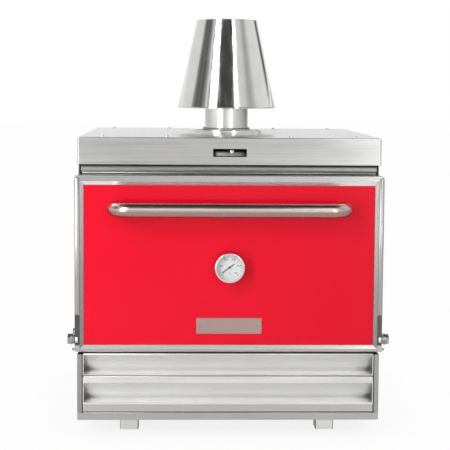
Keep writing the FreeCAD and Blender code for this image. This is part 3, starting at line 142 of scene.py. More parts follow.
def brushed_stainless(name, tones, rough, drawn, leaning=None, below=None, nooks=None, turned=None):
    # Type 304 sheet, brushed with a belt: fine straight lines along the sheet and a long soft highlight
    # across them. The belt's lines are about 0.2 mm apart and are drawn 2.4 mm apart so that they show. They
    # run across the oven, and front to back on its sides. Wiping along the grain leaves broad pale and dull
    # smears. Faces that lean down or up may each get a tone of their own: painted light and shade by the
    # way they face. Below a height the sheet may get another tone: painted shade on one side of that line.
    # Narrow faces turned to one axis, such as folded edges, may get a darker tone: painted shade.
    # Nooks may get a darker tone by their open sky, most of it toward the ends: painted shade and shadow.
    material, tree, place = new_finish(name)
    facing = add(tree, "ShaderNodeNewGeometry").outputs
    face_axes = add(tree, "ShaderNodeSeparateXYZ", {"Vector": facing["True Normal"]}).outputs
    aside = add(tree, "ShaderNodeMath", {0: face_axes["X"]}, operation="ABSOLUTE")
    on_side = add(tree, "ShaderNodeMath", {0: aside, 1: SIDE_FACING}, operation="GREATER_THAN")
    drawn_out = []
    for length, width in ((GRAIN_LENGTH, GRAIN_WIDTH), (WIPED_LENGTH, WIPED_WIDTH)):
        across = add(tree, "ShaderNodeMapping", {
            "Vector": place, "Scale": (1 / length, 1 / width, 1 / width)})
        backward = add(tree, "ShaderNodeMapping", {
            "Vector": place, "Scale": (1 / width, 1 / length, 1 / width)})
        drawn_out.append(add(tree, "ShaderNodeMix", {
            "Factor": on_side, "A": across, "B": backward}, data_type="VECTOR"))
    along_grain, along_wiping = drawn_out
    grain = add(tree, "ShaderNodeTexNoise", {
        "Vector": along_grain, "Scale": 1.0, "Detail": 3.0, "Roughness": 0.6})
    smear = add(tree, "ShaderNodeTexNoise", {"Vector": along_wiping, "Scale": 1.0, "Detail": 2.0})
    lines = add(tree, "ShaderNodeMapRange", {"Value": grain, **SPREAD, "To Max": LINE_SHARE})
    wiping = add(tree, "ShaderNodeMapRange", {"Value": smear, **WIPING, "To Max": WIPING_SHARE})
    share = add(tree, "ShaderNodeMath", {0: lines, 1: wiping}, operation="ADD")
    tone = add(tree, "ShaderNodeMix", {
        "Factor": share, "A": linear(tones[0]), "B": linear(tones[1])}, data_type="RGBA")
    # Painted light and shade: a face that leans up or down gets a tone of its own by the way it faces
    if leaning:
        upward = add(tree, "ShaderNodeSeparateXYZ", {"Vector": facing["Normal"]}).outputs["Z"]
        uneven = add(tree, "ShaderNodeMapRange", {"Value": share, "To Min": LEAN_LEAST})
        for way, painted_lean_tone in zip((-1, 1), leaning):
            lean = add(tree, "ShaderNodeMapRange", {
                "Value": upward, "From Min": way * LEAN_START, "From Max": way * LEAN_FULL})
            painted_lean_share = add(tree, "ShaderNodeMath", {0: lean, 1: uneven}, operation="MULTIPLY")
            tone = add(tree, "ShaderNodeMix", {
                "Factor": painted_lean_share, "A": tone, "B": linear(painted_lean_tone)}, data_type="RGBA")
    # Painted shade by height: under a height line the sheet gets another tone
    if below:
        line, foot_tone = below
        height = add(tree, "ShaderNodeSeparateXYZ", {"Vector": place}).outputs["Z"]
        foot = add(tree, "ShaderNodeMapRange", {
            "Value": height, "From Min": line, "From Max": line - TONE_FADE})
        tone = add(tree, "ShaderNodeMix", {
            "Factor": foot, "A": tone, "B": linear(foot_tone)}, data_type="RGBA")
    # Painted shade: narrow faces turned to one axis get a darker tone
    if turned:
        axis, edge_tone = turned
        square = add(tree, "ShaderNodeMath", {0: face_axes[axis]}, operation="ABSOLUTE")
        edge_shade_share = add(tree, "ShaderNodeMapRange", {
            "Value": square, "From Min": EDGE_START, "From Max": EDGE_FULL})
        tone = add(tree, "ShaderNodeMix", {
            "Factor": edge_shade_share, "A": tone, "B": linear(edge_tone)}, data_type="RGBA")
    # Painted shade in nooks, from their open sky, stronger toward the ends: painted shadow of the end walls
    if nooks:
        sky = add(tree, "ShaderNodeAmbientOcclusion", {"Distance": NOOK_REACH}, samples=SKY_SAMPLES)
        shaded_nook = add(tree, "ShaderNodeMapRange", {
            "Value": sky.outputs["AO"], "From Min": SKY_OPEN, "From Max": SKY_SHADED})
        reach = add(tree, "ShaderNodeSeparateXYZ", {"Vector": place}).outputs["X"]
        from_middle = add(tree, "ShaderNodeMath", {0: reach}, operation="ABSOLUTE")
        end_shade = add(tree, "ShaderNodeMapRange", {
            "Value": from_middle, "From Min": END_SHADE_FULL - END_SHADE_FADE, "From Max": END_SHADE_FULL,
            "To Min": NOOK_SHADE_MIDDLE, "To Max": NOOK_SHADE_ENDS})
        nook_shade_share = add(tree, "ShaderNodeMath", {0: shaded_nook, 1: end_shade}, operation="MULTIPLY")
        tone = add(tree, "ShaderNodeMix", {
            "Factor": nook_shade_share, "A": tone, "B": linear(nooks)}, data_type="RGBA")
    gloss = add(tree, "ShaderNodeMapRange", {"Value": share, "To Min": rough[0], "To Max": rough[1]})
    edge = add(tree, "ShaderNodeBevel", {"Radius": EDGE_ROUND}, samples=EDGE_SAMPLES)
    scratched = add(tree, "ShaderNodeBump", {
        "Strength": 0.05, "Distance": SCRATCH_DEPTH, "Height": grain, "Normal": edge})
    turns = [add(tree, "ShaderNodeTangent", direction_type="RADIAL", axis=axis) for axis in "XY"]
    turn = add(tree, "ShaderNodeMix", {
        "Factor": on_side, "A": turns[0], "B": turns[1]}, data_type="VECTOR")
    steel = add(tree, "ShaderNodeBsdfPrincipled", {
        "Base Color": tone, "Metallic": 1.0, "Roughness": gloss, "Normal": scratched,
        "Tangent": turn, "Anisotropic": drawn})
    add(tree, "ShaderNodeOutputMaterial", {"Surface": steel})
    return material


MITRE_HALF = 0.5 * MM
SLOPE_START = 0.15
SLOPE_FULL = 0.3


def mitred_stainless():
    # The same brushed sheet, folded into the door's border and mitred: the grain runs along each of the
    # four strips, so the upright ones catch the light differently, and a fine dark seam crosses each corner.
    # The upright strips also get a darker tone, painted shade. The slopes toward the panel get painted shade
    # on the uprights and a painted highlight under the upper strip.
    low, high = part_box("door_frame")
    material, tree, place = new_finish("mitred_brushed_stainless")
    axes = add(tree, "ShaderNodeSeparateXYZ", {"Vector": place}).outputs
    aside = add(tree, "ShaderNodeMath", {0: axes["X"]}, operation="ABSOLUTE")
    from_side = add(tree, "ShaderNodeMath", {0: high.x, 1: aside}, operation="SUBTRACT")
    from_foot = add(tree, "ShaderNodeMath", {0: axes["Z"], 1: low.z}, operation="SUBTRACT")
    from_head = add(tree, "ShaderNodeMath", {0: high.z, 1: axes["Z"]}, operation="SUBTRACT")
    from_end = add(tree, "ShaderNodeMath", {0: from_foot, 1: from_head}, operation="MINIMUM")
    upright = add(tree, "ShaderNodeMath", {0: from_side, 1: from_end}, operation="LESS_THAN")
    seam = add(tree, "ShaderNodeMath", {0: from_side, 1: from_end, 2: MITRE_HALF}, operation="COMPARE")
    across = add(tree, "ShaderNodeMapping", {
        "Vector": place, "Scale": (1 / GRAIN_LENGTH, 1 / GRAIN_WIDTH, 1 / GRAIN_WIDTH)})
    upward = add(tree, "ShaderNodeMapping", {
        "Vector": place, "Scale": (1 / GRAIN_WIDTH, 1 / GRAIN_WIDTH, 1 / GRAIN_LENGTH)})
    along = add(tree, "ShaderNodeMix", {"Factor": upright, "A": across, "B": upward}, data_type="VECTOR")
    grain = add(tree, "ShaderNodeTexNoise", {
        "Vector": along, "Scale": 1.0, "Detail": 3.0, "Roughness": 0.6})
    share = add(tree, "ShaderNodeMapRange", {"Value": grain, **SPREAD})
    facing = add(tree, "ShaderNodeNewGeometry").outputs["True Normal"]
    lean = add(tree, "ShaderNodeSeparateXYZ", {"Vector": facing}).outputs
    lean_aside = add(tree, "ShaderNodeMath", {0: lean["X"]}, operation="ABSOLUTE")
    inner = add(tree, "ShaderNodeMapRange", {
        "Value": lean_aside, "From Min": SLOPE_START, "From Max": SLOPE_FULL})
    hung = add(tree, "ShaderNodeMapRange", {
        "Value": lean["Z"], "From Min": -SLOPE_START, "From Max": -SLOPE_FULL})
    upper = add(tree, "ShaderNodeMath", {0: from_head, 1: from_foot}, operation="LESS_THAN")
    under_head = add(tree, "ShaderNodeMath", {0: hung, 1: upper}, operation="MULTIPLY")
    tone = add(tree, "ShaderNodeMix", {
        "Factor": share, "A": linear("#bebebc"), "B": linear("#c8c8c6")}, data_type="RGBA")
    # Painted shade on the uprights and their slopes, a painted highlight under the upper strip; the seam is
    # a joint
    parts = ((upright, "#b0b0ae"), (inner, "#989896"), (under_head, "#f2f2f0"), (seam, "#5c5a58"))
    for part, part_tone in parts:
        tone = add(tree, "ShaderNodeMix", {
            "Factor": part, "A": tone, "B": linear(part_tone)}, data_type="RGBA")
    gloss = add(tree, "ShaderNodeMapRange", {"Value": grain, "To Min": 0.22, "To Max": 0.32})
    edge = add(tree, "ShaderNodeBevel", {"Radius": EDGE_ROUND}, samples=EDGE_SAMPLES)
    scratched = add(tree, "ShaderNodeBump", {
        "Strength": 0.04, "Distance": SCRATCH_DEPTH, "Height": grain, "Normal": edge})
    turns = [add(tree, "ShaderNodeTangent", direction_type="RADIAL", axis=axis) for axis in "XZ"]
    turn = add(tree, "ShaderNodeMix", {
        "Factor": upright, "A": turns[0], "B": turns[1]}, data_type="VECTOR")
    steel = add(tree, "ShaderNodeBsdfPrincipled", {
        "Base Color": tone, "Metallic": 1.0, "Roughness": gloss, "Normal": scratched,
        "Tangent": turn, "Anisotropic": 0.6})
    add(tree, "ShaderNodeOutputMaterial", {"Surface": steel})
    return material


WHEEL_LENGTH = 300 * MM
WHEEL_WIDTH = 7 * MM
HAZE_SIZE = 40 * MM
UNDERSIDE_TURN = 0.2


def polished_stainless(name, along, tones, rough, ripple, under=None):
    # Type 304, buffed to a mirror: sharp reflections, drawn out a little along the way the wheel ran.
    # Its underside may get a browner, darker tone: a painted reflection of the red door, and painted shade.
    material, tree, place = new_finish(name)
    scale = [1 / (WHEEL_LENGTH if axis == along else WHEEL_WIDTH) for axis in "xyz"]
    drawn_out = add(tree, "ShaderNodeMapping", {"Vector": place, "Scale": scale})
    waves = add(tree, "ShaderNodeTexNoise", {"Vector": drawn_out, "Scale": 1.0, "Detail": 2.0})
    haze = add(tree, "ShaderNodeTexNoise", {"Vector": place, "Scale": 1 / HAZE_SIZE, "Detail": 3.0})
    tone = add(tree, "ShaderNodeMix", {
        "Factor": haze, "A": linear(tones[0]), "B": linear(tones[1])}, data_type="RGBA")
    # Painted reflection and shade: faces that turn down get a browner, darker tone
    if under:
        facing = add(tree, "ShaderNodeNewGeometry").outputs["Normal"]
        upward = add(tree, "ShaderNodeSeparateXYZ", {"Vector": facing}).outputs["Z"]
        underside_share = add(tree, "ShaderNodeMapRange", {
            "Value": upward, "From Min": UNDERSIDE_TURN, "From Max": -UNDERSIDE_TURN})
        tone = add(tree, "ShaderNodeMix", {
            "Factor": underside_share, "A": tone, "B": linear(under)}, data_type="RGBA")
    gloss = add(tree, "ShaderNodeMapRange", {
        "Value": waves, **SPREAD, "To Min": rough[0], "To Max": rough[1]})
    wavy = add(tree, "ShaderNodeBump", {"Strength": ripple, "Distance": 0.5 * MM, "Height": waves})
    steel = add(tree, "ShaderNodeBsdfPrincipled", {
        "Base Color": tone, "Metallic": 1.0, "Roughness": gloss, "Normal": wavy})
    add(tree, "ShaderNodeOutputMaterial", {"Surface": steel})
    return material


def red_enamel():
    # Baked gloss enamel on steel sheet: deep even red under a clear hard gloss with a faint orange peel.
    material, tree, place = new_finish("red_gloss_enamel")
    peel = add(tree, "ShaderNodeTexNoise", {"Vector": place, "Scale": 1 / (5 * MM), "Detail": 1.0})
    fired = add(tree, "ShaderNodeTexNoise", {"Vector": place, "Scale": 1 / (180 * MM), "Detail": 2.0})
    tone = add(tree, "ShaderNodeMix", {
        "Factor": fired, "A": linear("#f30a2a"), "B": linear("#fa0e30")}, data_type="RGBA")
    gloss = add(tree, "ShaderNodeMapRange", {"Value": fired, **SPREAD, "To Min": 0.12, "To Max": 0.2})
    rippled = add(tree, "ShaderNodeBump", {"Strength": 0.05, "Distance": 0.1 * MM, "Height": peel})
    enamel = add(tree, "ShaderNodeBsdfPrincipled", {
        "Base Color": tone, "Roughness": gloss, "Normal": rippled, "IOR": 1.5, "Specular IOR Level": 0.18})
    add(tree, "ShaderNodeOutputMaterial", {"Surface": enamel})
    return material


def zinc_fastener():
    # Turned and zinc plated steel: pale grey, with a soft gloss and fine turning marks.
    material, tree, place = new_finish("zinc_plated_steel")
    marks = add(tree, "ShaderNodeTexNoise", {"Vector": place, "Scale": 1 / (3 * MM), "Detail": 3.0})
    tone = add(tree, "ShaderNodeMix", {
        "Factor": marks, "A": linear("#8e8f90"), "B": linear("#b6b7b7")}, data_type="RGBA")
    gloss = add(tree, "ShaderNodeMapRange", {"Value": marks, **SPREAD, "To Min": 0.22, "To Max": 0.42})
    zinc = add(tree, "ShaderNodeBsdfPrincipled", {"Base Color": tone, "Metallic": 1.0, "Roughness": gloss})
    add(tree, "ShaderNodeOutputMaterial", {"Surface": zinc})
    return material


def weld_steel():
    # Welded stainless, wire brushed once cool: a rippled bead, a little yellower and duller than the sheet.
    material, tree, place = new_finish("tinted_weld_steel")
    heat = add(tree, "ShaderNodeTexNoise", {"Vector": place, "Scale": 1 / (12 * MM), "Detail": 2.0})
    tone = add(tree, "ShaderNodeMix", {
        "Factor": heat, "A": linear("#a5a19a"), "B": linear("#c2bfb9")}, data_type="RGBA")
    gloss = add(tree, "ShaderNodeMapRange", {"Value": heat, **SPREAD, "To Min": 0.28, "To Max": 0.45})
    bead = add(tree, "ShaderNodeBsdfPrincipled", {"Base Color": tone, "Metallic": 1.0, "Roughness": gloss})
    add(tree, "ShaderNodeOutputMaterial", {"Surface": bead})
    return material


def blackened_steel():
    # Plate with mill scale, blackened by heat: dull, nearly black, with brown and grey clouds.
    material, tree, place = new_finish("blackened_steel")
    scale = add(tree, "ShaderNodeTexNoise", {"Vector": place, "Scale": 1 / (30 * MM), "Detail": 5.0})
    tone = add(tree, "ShaderNodeMix", {
        "Factor": scale, "A": linear("#1d1c1b"), "B": linear("#454240")}, data_type="RGBA")
    gloss = add(tree, "ShaderNodeMapRange", {"Value": scale, **SPREAD, "To Min": 0.5, "To Max": 0.75})
    scaly = add(tree, "ShaderNodeBump", {"Strength": 0.2, "Distance": 0.4 * MM, "Height": scale})
    plate = add(tree, "ShaderNodeBsdfPrincipled", {
        "Base Color": tone, "Metallic": 0.6, "Roughness": gloss, "Normal": scaly})
    add(tree, "ShaderNodeOutputMaterial", {"Surface": plate})
    return material


def heat_tinted_stainless():
    # Stainless sheet that faces the fire: brushed, with straw and blue heat tint and a film of smoke.
    material, tree, place = new_finish("heat_tinted_stainless")
    heat = add(tree, "ShaderNodeTexNoise", {"Vector": place, "Scale": 1 / (140 * MM), "Detail": 3.0})
    smoke = add(tree, "ShaderNodeTexNoise", {"Vector": place, "Scale": 1 / (60 * MM), "Detail": 5.0})
    blued = add(tree, "ShaderNodeMapRange", {"Value": heat, **SPREAD})
    smoked = add(tree, "ShaderNodeMapRange", {"Value": smoke, **SPREAD, "To Max": 0.75})
    warm = add(tree, "ShaderNodeMix", {
        "Factor": blued, "A": linear("#b7a583"), "B": linear("#9a9aa8")}, data_type="RGBA")
    sooty = add(tree, "ShaderNodeMix", {
        "Factor": smoked, "A": warm, "B": linear("#5a5148")}, data_type="RGBA")
    gloss = add(tree, "ShaderNodeMapRange", {"Value": smoke, **SPREAD, "To Min": 0.3, "To Max": 0.55})
    sheet = add(tree, "ShaderNodeBsdfPrincipled", {
        "Base Color": sooty, "Metallic": 1.0, "Roughness": gloss})
    add(tree, "ShaderNodeOutputMaterial", {"Surface": sheet})
    return material


def cast_iron():
    # Sand cast grey iron, seasoned by fire: coarse dull skin with patches of rust.
    material, tree, place = new_finish("cast_iron")
    sand = add(tree, "ShaderNodeTexNoise", {"Vector": place, "Scale": 1 / (2.5 * MM), "Detail": 4.0})
    rust = add(tree, "ShaderNodeTexNoise", {"Vector": place, "Scale": 1 / (45 * MM), "Detail": 4.0})
    rusted = add(tree, "ShaderNodeMapRange", {"Value": rust, **PATCHES})
    tone = add(tree, "ShaderNodeMix", {
        "Factor": rusted, "A": linear("#262423"), "B": linear("#4a3326")}, data_type="RGBA")
    gloss = add(tree, "ShaderNodeMapRange", {"Value": sand, **SPREAD, "To Min": 0.6, "To Max": 0.85})
    rough = add(tree, "ShaderNodeBump", {"Strength": 0.5, "Distance": 0.4 * MM, "Height": sand})
    iron_skin = add(tree, "ShaderNodeBsdfPrincipled", {
        "Base Color": tone, "Metallic": 0.5, "Roughness": gloss, "Normal": rough})
    add(tree, "ShaderNodeOutputMaterial", {"Surface": iron_skin})
    return material


def mineral_wool():
    # Pressed stone wool board: matted pale yellow fibre with no gloss.
    material, tree, place = new_finish("stone_wool")
    fibre = add(tree, "ShaderNodeTexNoise", {"Vector": place, "Scale": 1 / (4 * MM), "Detail": 5.0})
    tone = add(tree, "ShaderNodeMix", {
        "Factor": fibre, "A": linear("#8f865f"), "B": linear("#c9bf93")}, data_type="RGBA")
    matted = add(tree, "ShaderNodeBump", {"Strength": 0.8, "Distance": 1.0 * MM, "Height": fibre})
    board = add(tree, "ShaderNodeBsdfPrincipled", {"Base Color": tone, "Roughness": 0.95, "Normal": matted})
    add(tree, "ShaderNodeOutputMaterial", {"Surface": board})
    return material


def glass_rope():
    # Twisted glass fibre rope: off-white, dull, threads showing along its strands, browned by smoke.
    material, tree, place = new_finish("glass_fibre_rope")
    thread = add(tree, "ShaderNodeTexNoise", {"Vector": place, "Scale": 1 / (1.6 * MM), "Detail": 2.0})
    smoke = add(tree, "ShaderNodeTexNoise", {"Vector": place, "Scale": 1 / (70 * MM), "Detail": 3.0})
    brown = add(tree, "ShaderNodeMapRange", {"Value": smoke, **PATCHES, "To Max": 0.6})
    clean = add(tree, "ShaderNodeMix", {
        "Factor": thread, "A": linear("#a39d8d"), "B": linear("#e0dbcf")}, data_type="RGBA")
    tone = add(tree, "ShaderNodeMix", {
        "Factor": brown, "A": clean, "B": linear("#6b5c49")}, data_type="RGBA")
    fuzzy = add(tree, "ShaderNodeBump", {"Strength": 0.6, "Distance": 0.5 * MM, "Height": thread})
    rope = add(tree, "ShaderNodeBsdfPrincipled", {"Base Color": tone, "Roughness": 0.9, "Normal": fuzzy})
    add(tree, "ShaderNodeOutputMaterial", {"Surface": rope})
    return material


def dial_enamel():
    # White dial plate, stove enamelled: satin and faintly uneven.
    material, tree, place = new_finish("white_dial_enamel")
    age = add(tree, "ShaderNodeTexNoise", {"Vector": place, "Scale": 1 / (25 * MM), "Detail": 2.0})
    tone = add(tree, "ShaderNodeMix", {
        "Factor": age, "A": linear("#eef2f1"), "B": linear("#f8faf9")}, data_type="RGBA")
    plate = add(tree, "ShaderNodeBsdfPrincipled", {"Base Color": tone, "Roughness": 0.45})
    add(tree, "ShaderNodeOutputMaterial", {"Surface": plate})
    return material


def clear_glass():
    # Flat gauge glass: clear, hard gloss, with a breath of dust.
    material, tree, place = new_finish("gauge_glass")
    dust = add(tree, "ShaderNodeTexNoise", {"Vector": place, "Scale": 1 / (9 * MM), "Detail": 3.0})
    tone = add(tree, "ShaderNodeMix", {
        "Factor": dust, "A": linear("#eef4f3"), "B": linear("#ffffff")}, data_type="RGBA")
    seen = add(tree, "ShaderNodeMapRange", {"Value": dust, **SPREAD, "To Min": 0.05, "To Max": 0.09})
    pane = add(tree, "ShaderNodeBsdfPrincipled", {
        "Base Color": tone, "Roughness": 0.03, "IOR": 1.5, "Alpha": seen})
    add(tree, "ShaderNodeOutputMaterial", {"Surface": pane})
    return material


def black_paint(name, roughness):
    # Black ink or paint, screened on: dull, a little worn.
    material, tree, place = new_finish(name)
    wear = add(tree, "ShaderNodeTexNoise", {"Vector": place, "Scale": 1 / (4 * MM), "Detail": 3.0})
    tone = add(tree, "ShaderNodeMix", {
        "Factor": wear, "A": linear("#121313"), "B": linear("#2b2c2c")}, data_type="RGBA")
    ink = add(tree, "ShaderNodeBsdfPrincipled", {"Base Color": tone, "Roughness": roughness})
    add(tree, "ShaderNodeOutputMaterial", {"Surface": ink})
    return material


# Heights of the lines of painted shade, under which a sheet has its other tone: at the foot of the drawer's
# front, under the hinge knuckles, and under the shade in the slot
DRAWER_FOOT = 71 * MM
KNUCKLE_FOOT = 200 * MM
SLOT_SHADE = 612.6 * MM

sheet_steel = brushed_stainless(
    "brushed_stainless_sheet", ("#c6c6c4", "#d0d0ce"), rough=(0.34, 0.44), drawn=0.6)
# Painted shade: the faces of the sides that turn to the front or back are darker
side_steel = brushed_stainless(
    "brushed_stainless_sides", ("#b6b6b4", "#c0c0be"), rough=(0.34, 0.44), drawn=0.6,
    turned=("Y", "#a0a09e"))
# Painted light and shade on the cover: up-facing faces white, down-facing faces grey
cover_steel = brushed_stainless(
    "brushed_stainless_cover", ("#bcbcba", "#dadad8"), rough=(0.32, 0.42), drawn=0.8,
    leaning=("#c4c4c2", "#ffffff"))
# Painted light and shade on the pulls: up-facing faces white, down-facing faces pale, the drawer's front
# darker under its foot line, end faces and nooks darker
pull_steel = brushed_stainless(
    "brushed_stainless_pulls", ("#cececc", "#ececea"), rough=(0.42, 0.52), drawn=0.4,
    leaning=("#e4e4e2", "#ffffff"), below=(DRAWER_FOOT, "#bebebc"), nooks="#90908e",
    turned=("X", "#8c8c8a"))
# Painted shade: the base pan and its hem have a darker tone than the sheet
base_steel = brushed_stainless(
    "brushed_stainless_base", ("#b0b0ae", "#bebebc"), rough=(0.36, 0.46), drawn=0.6)
bright_steel = brushed_stainless(
    "bright_brushed_stainless", ("#ececea", "#f4f4f2"), rough=(0.36, 0.46), drawn=0.6)
# Painted light and shade on the feet: a brighter tone than the sheet, and darker flanks
foot_steel = brushed_stainless(
    "brushed_stainless_feet", ("#e2e2e0", "#f0f0ee"), rough=(0.36, 0.46), drawn=0.6,
    turned=("X", "#8a8a88"))
warm_plate = brushed_stainless(
    "satin_stainless_plate", ("#b29a94", "#bca49d"), rough=(0.3, 0.4), drawn=0.5)
# Painted shade: the hinge blocks are dark above the knuckles' foot, where they lie in shade, and pale below
# it
hinge_steel = brushed_stainless(
    "shade_painted_stainless_hinge", ("#4e4e4e", "#646463"), rough=(0.36, 0.46), drawn=0.4,
    below=(KNUCKLE_FOOT, "#b8b8b6"))
# Painted shade and light on the neck under the cover: a darker tone than the sheet, down-facing faces near
# white, up-facing faces grey
neck_steel = brushed_stainless(
    "brushed_stainless_neck", ("#a4a4a2", "#aeaeac"), rough=(0.4, 0.5), drawn=0.5,
    leaning=("#fafaf8", "#a8a8a6"))
# Painted shade: the damper and the slot's shield are dark down to the line of the slot's shade, and grey
# below it
damper_steel = brushed_stainless(
    "shade_painted_stainless_damper", ("#5a5a58", "#666664"), rough=(0.55, 0.65), drawn=0.3,
    below=(SLOT_SHADE, "#929290"))
MIRROR = ("#dadad8", "#ececeb")
mirror_up = polished_stainless("mirror_stainless_up", "z", MIRROR, rough=(0.08, 0.16), ripple=0.03)
mirror_across = polished_stainless(
    "mirror_stainless_across", "x", MIRROR, rough=(0.08, 0.15), ripple=0.05)
# Painted reflection of the red door: warm tones, and a browner, darker underside
handle_steel = polished_stainless(
    "buffed_stainless_handle", "x", ("#c4bbb2", "#d2c9c1"), rough=(0.22, 0.3), ripple=0.03,
    under="#ad938b")
satin_pipe = polished_stainless("satin_stainless_pipe", "z", MIRROR, rough=(0.16, 0.26), ripple=0.05)
bead_steel = polished_stainless(
    "satin_stainless_bead", "z", ("#b2b2b0", "#c2c2c0"), rough=(0.28, 0.38), ripple=0.04)
fastener = zinc_fastener()
weld_bead = weld_steel()
black_steel = blackened_steel()
tinted = heat_tinted_stainless()
rope_fibre = glass_rope()
dial_ink = black_paint("black_dial_ink", roughness=0.6)

FINISHES = {
    sheet_steel: ["rear_panel", "cover_rails", "tray_runners", "drip_tray_pan", "ash_drawer_pan"],
    cover_steel: ["top_cover"],
    base_steel: ["base_pan"],
    neck_steel: ["upper_front_rail"],
    hinge_steel: ["hinge_blocks"],
    damper_steel: ["damper_plate"],
    foot_steel: ["feet"],
    mitred_stainless(): ["door_frame"],
    pull_steel: ["drip_tray_front", "ash_drawer_front"],
    warm_plate: ["name_plate"],
    side_steel: ["side_panel_left", "side_panel_right", "hinge_straps", "floor_rails", "drawer_runners",
                 "ash_chute"],
    mirror_up: ["hat_cone", "hat_spider", "flue_flange"],
    handle_steel: ["handle_bar"],
    mirror_across: ["gauge_case", "gauge_stem", "damper_knob"],
    satin_pipe: ["flue_pipe"],
    bright_steel: ["cover_screws"],
    fastener: ["hinge_bolts", "strap_screws", "liner_screws", "stop_pins", "plate_rivets", "damper_stud"],
    black_steel: ["mouth_frame", "firebox_sides", "firebox_rear", "firebox_roof", "firebox_floor",
                  "rack_guides", "smoke_collar"],
    tinted: ["door_liner", "spark_baffle", "cooking_rack_upper", "cooking_rack_lower"],
    cast_iron(): ["fire_grate"],
    red_enamel(): ["door_panel", "handle_collars"],
    mineral_wool(): ["insulation_sides", "insulation_rear", "insulation_top", "door_core"],
    rope_fibre: ["mouth_gasket"],
    dial_enamel(): ["gauge_dial"],
    clear_glass(): ["gauge_glass"],
    black_paint("black_needle_paint", roughness=0.4): ["gauge_needle"],
}
for finish, names in FINISHES.items():
    for name in names:
        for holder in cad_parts[name].material_slots:
            holder.material = finish


# Fittings, made in mesh and carried by the bodies
def fit(name, shape, finish, body, smooth=True):
    """Make a piece of a shape: it has a finish, and it moves with a body of the oven."""
    bmesh.ops.recalc_face_normals(shape, faces=shape.faces)
    for face in shape.faces:
        face.smooth = smooth
    mesh = bpy.data.meshes.new(name)
    shape.to_mesh(mesh)
    shape.free()
    mesh.materials.append(finish)
    piece = bpy.data.objects.new(name, mesh)
    scene.collection.objects.link(piece)
    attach(piece, body)
    return piece


def skin(shape, rings, closed=False):
    """Cover a run of rings of points; the run closes on itself or gets a cap at each end."""
    loops = [[shape.verts.new(point) for point in ring] for ring in rings]
    following = loops[1:] + loops[:1] if closed else loops[1:]
    for first, second in zip(loops, following):
        for i in range(len(first)):
            j = (i + 1) % len(first)
            shape.faces.new((first[i], first[j], second[j], second[i]))
    if not closed:
        shape.faces.new(loops[0])
        shape.faces.new(loops[-1])


def oval(centre, wide, tall, sides):
    """A ring of points about a centre; wide and tall are its half sizes, each with its direction."""
    turns = [2 * math.pi * k / sides for k in range(sides)]
    return [centre + wide * math.cos(t) + tall * math.sin(t) for t in turns]


# Thermometer dial: scale of a bimetal gauge, 0 to 500 over three quarters of a turn
SCALE_TOP = 500
SCALE_START = 225.0
SCALE_SWEEP = 270.0
FIGURE_STEP = 100
INK_DEPTH = 0.08 * MM
TICK_OUTER = 26.6 * MM
FIGURE_RADIUS = 18.2 * MM
FIGURE_SIZE = 5.2 * MM
UNIT_RADIUS = 13.5 * MM
# Ticks, the longest first: the step that they mark, where they start and half their width
TICKS = ((100, 22.4 * MM, 0.45 * MM), (50, 23.6 * MM, 0.3 * MM), (10, 24.9 * MM, 0.16 * MM))


def scale_turn(value):
    """A scale value's bearing on the dial, clockwise from the top, in radians."""
    return math.radians(SCALE_START + SCALE_SWEEP * value / SCALE_TOP)


def ink_block(shape, corners, front):
    """A thin block of ink: its outline lies on the dial face."""
    rings = [[Vector((x, y, z)) for x, z in corners] for y in (front, front - INK_DEPTH)]
    skin(shape, rings)


def figure_mesh(text):
    """Characters as a thin closed mesh, centred and lying in the XY plane."""
    curve = bpy.data.curves.new("dial_figure", "FONT")
    curve.body = text
    curve.size = FIGURE_SIZE
    curve.align_x = "CENTER"
    curve.align_y = "CENTER"
    curve.extrude = INK_DEPTH / 2
    holder = bpy.data.objects.new("dial_figure", curve)
    scene.collection.objects.link(holder)
    bpy.context.view_layer.update()
    mesh = bpy.data.meshes.new_from_object(holder.evaluated_get(bpy.context.evaluated_depsgraph_get()))
    bpy.data.objects.remove(holder)
    bpy.data.curves.remove(curve)
    return mesh


def make_dial_print():
    low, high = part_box("gauge_dial")
    front = low.y
    hub = (low + high) / 2
    shape = bmesh.new()
    finest = TICKS[-1][0]
    for value in range(0, SCALE_TOP + 1, finest):
        turn = scale_turn(value)
        outward = Vector((math.sin(turn), math.cos(turn)))
        sideways = Vector((math.cos(turn), -math.sin(turn)))
        inner, half = next(size for step, *size in TICKS if value % step == 0)
        ends = [(inner, -half), (inner, half), (TICK_OUTER, half), (TICK_OUTER, -half)]
        corners = [outward * reach + sideways * aside for reach, aside in ends]
        ink_block(shape, [(hub.x + c.x, hub.z + c.y) for c in corners], front)
    facing = Matrix.Rotation(math.radians(90), 4, "X")
    figured = range(0, SCALE_TOP + 1, FIGURE_STEP)
    figures = [(str(value), scale_turn(value), FIGURE_RADIUS) for value in figured]
    figures.append(("\N{DEGREE SIGN}C", math.pi, UNIT_RADIUS))
    for text, turn, reach in figures:
        across = hub.x + math.sin(turn) * reach
        height = hub.z + math.cos(turn) * reach
        mesh = figure_mesh(text)
        mesh.transform(Matrix.Translation((across, front - INK_DEPTH / 2, height)) @ facing)
        shape.from_mesh(mesh)
        bpy.data.meshes.remove(mesh)
    fit("dial_print", shape, dial_ink, "door", smooth=False)


# Rope seal round the mouth: four strands laid together and bent round the corners
ROPE_STRANDS = 4
STRAND_RADIUS = 2.6 * MM
STRAND_SWING = 3.3 * MM
ROPE_PITCH = 34 * MM
ROPE_STEP = 4 * MM
ROPE_CORNER = 14 * MM
CORNER_LEAST = 3
STRAND_SIDES = 8


